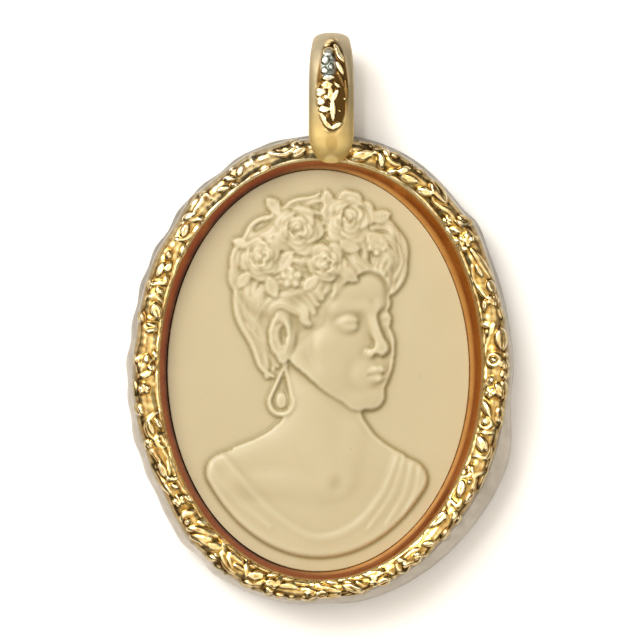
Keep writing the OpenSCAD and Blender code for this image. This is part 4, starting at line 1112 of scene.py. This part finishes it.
def add(tree, kind, settings=None, out=0, **links):
    """Adds a shader node with its settings, joins its inputs to sockets or values, and gives an output.

    Stops are a colour ramp's places and colours. An input goes by its name, or by i and its number.
    """
    node = tree.nodes.new("ShaderNode" + kind)
    for key, value in (settings or {}).items():
        if key != "stops":
            setattr(node, key, value)
            continue
        stops = node.color_ramp.elements
        for k, (at, code) in enumerate(value):
            stop = stops[k] if k < 2 else stops.new(at)
            stop.position, stop.color = at, linear(code)
    for key, value in links.items():
        socket = node.inputs[int(key[1:]) if key[1:].isdigit() else key.replace("_", " ")]
        if isinstance(value, bpy.types.NodeSocket):
            tree.links.new(value, socket)
        else:
            socket.default_value = linear(value) if isinstance(value, str) else value
    return node.outputs[out] if node.outputs else None


def new_material(name):
    material = bpy.data.materials.new(name)
    material.use_nodes = True
    material.node_tree.nodes.clear()
    return material, material.node_tree, add(material.node_tree, "TexCoord", out="Object")


SOFT = {"interpolation_type": "SMOOTHSTEP"}
COLOURS = {"data_type": "RGBA"}
MULTIPLIED = {"data_type": "RGBA", "blend_type": "MULTIPLY"}


def patchy(tree, place, across, low, high):
    """A roughness that varies from low to high in soft patches, so many mm across."""
    patch = add(tree, "TexNoise", Vector=place, Scale=1 / (across * MM))
    return add(tree, "MapRange", Value=patch, From_Min=0.3, From_Max=0.7, To_Min=low, To_Max=high)


def finish(tree, colour, roughness, bumps, high, **settings):
    """Ends a material with its colour, its roughness and its bumps, so many mm high."""
    normal = add(tree, "Bump", Height=bumps, Distance=high * MM)
    skin = add(tree, "BsdfPrincipled", Base_Color=colour, Roughness=roughness, Normal=normal, **settings)
    add(tree, "OutputMaterial", Surface=skin)


def cast_resin():
    """Moulded polyester resin, filled and cream coloured: satin and a little translucent, with a
    cloudy tone, a few dark specks, painted highlight paler on what stands out and painted shade
    darker in the hollows."""
    material, tree, place = new_material("moulded_cream_resin")
    depth = add(tree, "Attribute", {"attribute_name": "depth"}, out="Fac")
    # Clouds 7 mm across, as the filler settles in the mould
    cloudy = add(tree, "TexNoise", Vector=place, Scale=1 / (7 * MM))
    tone = add(tree, "ValToRGB", {"stops": [(0.35, "#AC9F7D"), (0.65, "#A39571")]}, Fac=cloudy)
    # Painted shade and painted highlight: darker olive in the hollows and paler on what stands out, by the
    # depth value
    creams = [(0.15, "#BDB495"), (0.5, "#A89A77"), (0.85, "#7A6C3E")]
    shaded = add(tree, "ValToRGB", {"stops": creams}, Fac=depth)
    cream = add(tree, "Mix", COLOURS, out=2, i0=0.72, i6=tone, i7=shaded)
    # Specks of 0.2 mm, some 3 mm apart
    near = add(tree, "TexVoronoi", Vector=place, Scale=1 / (3.2 * MM))
    speck = add(tree, "MapRange", SOFT, Value=near, From_Min=0.035, From_Max=0.02, To_Max=0.45)
    cream = add(tree, "Mix", COLOURS, out=2, i0=speck, i6=cream, i7="#8C7546")
    satin = patchy(tree, place, 1.5, 0.40, 0.52)
    grain = add(tree, "TexNoise", Vector=place, Scale=1 / (0.25 * MM), Detail=3.0)
    finish(tree, cream, satin, grain, 0.006, IOR=1.54, Subsurface_Weight=0.10, Subsurface_Scale=0.6 * MM)
    return material


def gilt_tone(tree, place, y, depth, band):
    """The gilding's colour: yellow inside, browner outside by painted shade and a painted grey reflection
    in silvery beige at the top, each with painted highlight paler on what stands out and painted shade
    in the recesses, with facets of duller tone and painted shade darkening the outer edge."""
    # Painted highlight and painted shade: each ramp is paler where the relief stands out and darker in the
    # recesses
    inner = [(0.0, "#FDF0CA"), (0.42, "#EBD596"), (0.62, "#B8954E"), (1.0, "#74541E")]
    outer = [(0.0, "#E8D8AE"), (0.42, "#CBB27E"), (0.62, "#8E7040"), (1.0, "#523816")]
    painted_reflection = [(0.0, "#F8F2E2"), (0.42, "#C2B8A0"), (0.62, "#80745C"), (1.0, "#463822")]
    yellow, browner, silvery = [add(tree, "ValToRGB", {"stops": stops}, Fac=depth)
                                for stops in (inner, outer, painted_reflection)]
    # Painted shade: browner towards the outside of the band
    outwards = add(tree, "MapRange", SOFT, Value=band, From_Min=0.3, From_Max=0.85)
    gold = add(tree, "Mix", COLOURS, out=2, i0=outwards, i6=yellow, i7=browner)
    # Painted reflection: a silvery beige at the top, the most on the left, for the grey room that the metal
    # mirrors there
    x = add(tree, "SeparateXYZ", Vector=place)
    upwards = add(tree, "Math", {"operation": "MULTIPLY_ADD"}, i0=x, i1=-0.5, i2=y)
    grey_reflection_share = add(tree, "MapRange", SOFT, Value=upwards, From_Min=0.012, From_Max=0.024, To_Max=0.9)
    gold = add(tree, "Mix", COLOURS, out=2, i0=grey_reflection_share, i6=gold, i7=silvery)
    # Facets of warmer and duller tone, 1.2 mm across
    facets = add(tree, "TexNoise", Vector=place, Scale=1 / (1.2 * MM))
    duller = add(tree, "MapRange", SOFT, Value=facets, From_Min=0.48, From_Max=0.66, To_Max=0.55)
    gold = add(tree, "Mix", MULTIPLIED, out=2, i0=duller, i6=gold, i7="#C09A62")
    # Painted shade: the steep outer edge is darkened to a dull olive
    edge = add(tree, "MapRange", SOFT, Value=band, From_Min=0.72, From_Max=0.93, To_Max=0.85)
    return add(tree, "Mix", COLOURS, out=2, i0=edge, i6=gold, i7="#6E6246")


def cast_gilt():
    """Gold-plated zinc casting, bright tumbled: painted highlight paler on what stands out and as a pale
    line along the lip, yellow along the lip, browner and greyer towards the outside by painted shade and
    a painted grey reflection, and painted shade in the recesses."""
    material, tree, place = new_material("gilt_zinc_casting")
    depth, band = [add(tree, "Attribute", {"attribute_name": name}, out="Fac") for name in ("depth", "band")]
    y = add(tree, "SeparateXYZ", Vector=place, out=1)
    gold = gilt_tone(tree, place, y, depth, band)
    # Painted highlight: a pale line of uneven width along the lip, clearest at the top; the lip is also a
    # duller satin
    patch = add(tree, "TexNoise", Vector=place, Scale=1 / (0.8 * MM))
    uneven = add(tree, "Math", {"operation": "MULTIPLY_ADD"}, i0=patch, i1=0.28, i2=band)
    lip = add(tree, "MapRange", SOFT, Value=uneven, From_Min=0.27, From_Max=0.18)
    at_top = add(tree, "MapRange", SOFT, Value=y, From_Min=0.002, From_Max=0.016, To_Min=0.15, To_Max=0.9)
    lip = add(tree, "Math", {"operation": "MULTIPLY"}, i0=lip, i1=at_top)
    gold = add(tree, "Mix", COLOURS, out=2, i0=lip, i6=gold, i7="#FFF3CC")
    polish = add(tree, "MapRange", Value=patch, From_Min=0.3, From_Max=0.7, To_Min=0.15, To_Max=0.27)
    dull = add(tree, "Math", {"operation": "MULTIPLY"}, i0=lip, i1=0.26)
    polish = add(tree, "Math", i0=polish, i1=dull)
    cast = add(tree, "TexNoise", Vector=place, Scale=1 / (0.5 * MM), Detail=2.0)
    finish(tree, gold, polish, cast, 0.016, Metallic=1.0)
    return material


def worn_bail_gilt():
    """The same gilding on the bail, dulled by the chain and the hand to a satin: beige at the top,
    a brighter yellow at the foot as painted highlight, painted highlight and painted shade in the
    chasing, and a painted grey reflection in one place."""
    material, tree, place = new_material("dulled_bail_gilt")
    depth, chased, grey_reflection, painted_reflection, darker_patch = [add(tree, "Attribute", {"attribute_name": name}, out="Fac")
                                            for name in ("depth", "chased", "grey_reflection", "painted_reflection", "darker_patch")]
    y = add(tree, "SeparateXYZ", Vector=place, out=1)
    upwards = add(tree, "MapRange", Value=y, From_Min=0.0150, From_Max=0.0290)
    # Painted highlight: brighter yellow at the foot, beige towards the top
    heights = [(0.0, "#E8CF88"), (0.25, "#B8A16A"), (0.5, "#9D8F6C"), (0.9, "#ADA086")]
    tone = add(tree, "ValToRGB", {"stops": heights}, Fac=upwards)
    # Painted reflection: a pale yellow patch on the foot, where it curves
    tone = add(tree, "Mix", COLOURS, out=2, i0=painted_reflection, i6=tone, i7="#FFEEB4")
    # A darker patch on the foot, beside its painted reflection
    darker_share = add(tree, "Math", {"operation": "MULTIPLY"}, i0=darker_patch, i1=0.6)
    tone = add(tree, "Mix", COLOURS, out=2, i0=darker_share, i6=tone, i7="#A8894F")
    # Painted highlight and painted shade: the chasing is paler where it stands out and dark brown in its
    # cuts
    chasing = [(0.0, "#F8EAC0"), (0.35, "#DCC084"), (0.55, "#8E7040"), (1.0, "#4A3518")]
    cut = add(tree, "ValToRGB", {"stops": chasing}, Fac=depth)
    gold = add(tree, "Mix", COLOURS, out=2, i0=chased, i6=tone, i7=cut)
    # Painted reflection: a grey patch on the chasing, lighter where it stands out and darker in its hollows
    grey_reflection_tone = add(tree, "ValToRGB", {"stops": [(0.2, "#BDC3B8"), (0.8, "#646860")]}, Fac=depth)
    gold = add(tree, "Mix", COLOURS, out=2, i0=grey_reflection, i6=gold, i7=grey_reflection_tone)
    dulled = patchy(tree, place, 1.0, 0.56, 0.68)
    bright = add(tree, "MapRange", Value=chased, To_Min=0.0, To_Max=0.32)
    satin = add(tree, "Math", {"operation": "SUBTRACT"}, i0=dulled, i1=bright)
    cast = add(tree, "TexNoise", Vector=place, Scale=1 / (0.6 * MM), Detail=3.0)
    finish(tree, gold, satin, cast, 0.02, Metallic=1.0)
    return material


def polished_wall():
    """The polished inner wall, which mirrors the cameo. Its redder tone is painted shade for the low
    light between wall and cameo; the tan at its foot on the right is a painted reflection of the lit
    cameo, and the dark maroon there on the left is painted shade, where it lies in its own shade."""
    material, tree, place = new_material("polished_gilt_painted_light")
    band = add(tree, "Attribute", {"attribute_name": "band"}, out="Fac")
    x = add(tree, "SeparateXYZ", Vector=place)
    rightwards = add(tree, "MapRange", SOFT, Value=x, From_Min=-0.008, From_Max=0.006)
    up = add(tree, "MapRange", Value=band, From_Min=-1.0, From_Max=0.0)
    # Painted shade and painted reflection: a shaded copy for the left and a lit copy, mirroring the cameo,
    # for the right
    left = [(0.0, "#5E1614"), (0.30, "#7A2414"), (0.48, "#A04420"), (0.85, "#AE562A"), (0.97, "#EBC98A")]
    right = [(0.0, "#F2C68C"), (0.30, "#E0A868"), (0.48, "#9A5624"), (0.85, "#B4702E"), (0.97, "#EBC98A")]
    shaded = add(tree, "ValToRGB", {"stops": left}, Fac=up)
    lit = add(tree, "ValToRGB", {"stops": right}, Fac=up)
    red = add(tree, "Mix", COLOURS, out=2, i0=rightwards, i6=shaded, i7=lit)
    # Streaks 2.5 mm long, where the polish follows the wall
    smears = add(tree, "TexNoise", Vector=place, Scale=1 / (2.5 * MM), Detail=3.0)
    smear = add(tree, "MapRange", SOFT, Value=smears, From_Min=0.45, From_Max=0.7, To_Max=0.4)
    red = add(tree, "Mix", COLOURS, out=2, i0=smear, i6=red, i7="#C4813F")
    finish(tree, red, patchy(tree, place, 1.2, 0.18, 0.30), smears, 0.03, Metallic=1.0)
    return material


def satin_side():
    """The plain outer side as cast and plated: a pale soft sheen that is a painted reflection of the floor,
    greyer towards the bail by painted shade.
    """
    material, tree, place = new_material("satin_gilt_painted_reflection")
    cloudy = add(tree, "TexNoise", Vector=place, Scale=1 / (4 * MM))
    # Painted reflection: pale beige for the floor that the side mirrors
    pale = add(tree, "ValToRGB", {"stops": [(0.3, "#AFA79B"), (0.7, "#9F978B")]}, Fac=cloudy)
    y = add(tree, "SeparateXYZ", Vector=place, out=1)
    # Painted shade: darker towards the top, by the bail
    upwards = add(tree, "MapRange", SOFT, Value=y, From_Min=-0.008, From_Max=0.008)
    pale = add(tree, "Mix", COLOURS, out=2, i0=upwards, i6=pale, i7="#6C6558")
    cast = add(tree, "TexNoise", Vector=place, Scale=1 / (0.5 * MM), Detail=3.0)
    finish(tree, pale, patchy(tree, place, 1.0, 0.34, 0.46), cast, 0.012, Metallic=1.0)
    return material


def dress_pieces():
    """Makes the pieces in their finishes, and hides the imported part that each replaces."""
    rim_finishes = [cast_gilt(), polished_wall(), satin_side()]
    for piece, finishes, node, slot in [(make_cameo(), [cast_resin()], "cameo", "resin"),
                                        (make_rim(), rim_finishes, "frame", "gilt_metal"),
                                        (make_bail(), [worn_bail_gilt()], "frame", "gilt_metal")]:
        for finish in finishes:
            piece.data.materials.append(finish)
        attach(piece, "root")
        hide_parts(node)


def make_floor():
    bpy.ops.mesh.primitive_plane_add(size=3)
    floor = bpy.context.object
    floor.name = "floor"
    material, tree, _ = new_material("pale_floor")
    skin = add(tree, "BsdfPrincipled", Base_Color="#F6F4F0", Roughness=0.9)
    add(tree, "OutputMaterial", Surface=skin)
    floor.data.materials.append(material)


# Area lights: name, place in metres, size and power in watts
LIGHTS = [("key", (-0.27, 0.31, 0.53), 0.42, 4.6), ("fill", (0.42, -0.25, 0.46), 0.34, 0.5)]

# Patches of the studio seen in the metal: direction, cosines where they start and are full, and
# strength. The last is the dark lens and stand straight above.
PATCHES = [((0, 0, 1), 0.62, 0.86, 1.5), ((-0.7, 0.45, 0.55), 0.80, 0.97, 1.0),
           ((0.8, 0.2, 0.4), 0.88, 0.98, 0.35), ((-0.3, -0.9, 0.45), 0.88, 0.98, 0.3),
           ((0, 0, 1), 0.975, 0.995, -0.9)]
STUDIO_STRENGTH, STUDIO_COLOUR = 0.13, "#FFF6EA"


def make_lights():
    for name, at, size, power in LIGHTS:
        light = bpy.data.lights.new(name, "AREA")
        light.size, light.energy = size, power
        lamp = bpy.data.objects.new(name, light)
        lamp.location = at
        lamp.rotation_euler = (-Vector(at)).to_track_quat("-Z", "Y").to_euler()
        bpy.context.scene.collection.objects.link(lamp)


def make_studio():
    """The room round the pendant: even and dim, with brighter and darker patches for the metal."""
    world = bpy.data.worlds.new("studio")
    world.use_nodes = True
    tree = world.node_tree
    tree.nodes.clear()
    direction = add(tree, "TexCoord", out="Generated")
    light = STUDIO_STRENGTH
    for towards, low, high, strength in PATCHES:
        towards = Vector(towards).normalized()
        near = add(tree, "VectorMath", {"operation": "DOT_PRODUCT"}, out="Value", i0=direction, i1=towards)
        patch = add(tree, "MapRange", SOFT, Value=near, From_Min=low, From_Max=high, To_Max=strength)
        light = add(tree, "Math", i0=patch, i1=light)
    sky = add(tree, "Background", Color=STUDIO_COLOUR, Strength=light)
    add(tree, "OutputWorld", Surface=sky)
    bpy.context.scene.world = world


# The camera, in metres: its place, the width that it sees and the height at which it sees it. The
# sensor's width is in mm.
CAMERA_AT, VIEW_W, VIEW_Z, SENSOR_W = (0, -0.0001, 0.70), 0.0640, 0.0055, 36


def make_camera():
    """Straight above the pendant, as the photograph looks at it."""
    data = bpy.data.cameras.new("camera")
    data.sensor_width = SENSOR_W
    data.lens = SENSOR_W * (CAMERA_AT[2] - VIEW_Z) / VIEW_W
    camera = bpy.data.objects.new("camera", data)
    camera.location = CAMERA_AT
    bpy.context.scene.collection.objects.link(camera)
    bpy.context.scene.camera = camera


dress_pieces()
make_floor()
make_lights()
make_studio()
make_camera()
bpy.context.scene.view_settings.view_transform = "Standard"
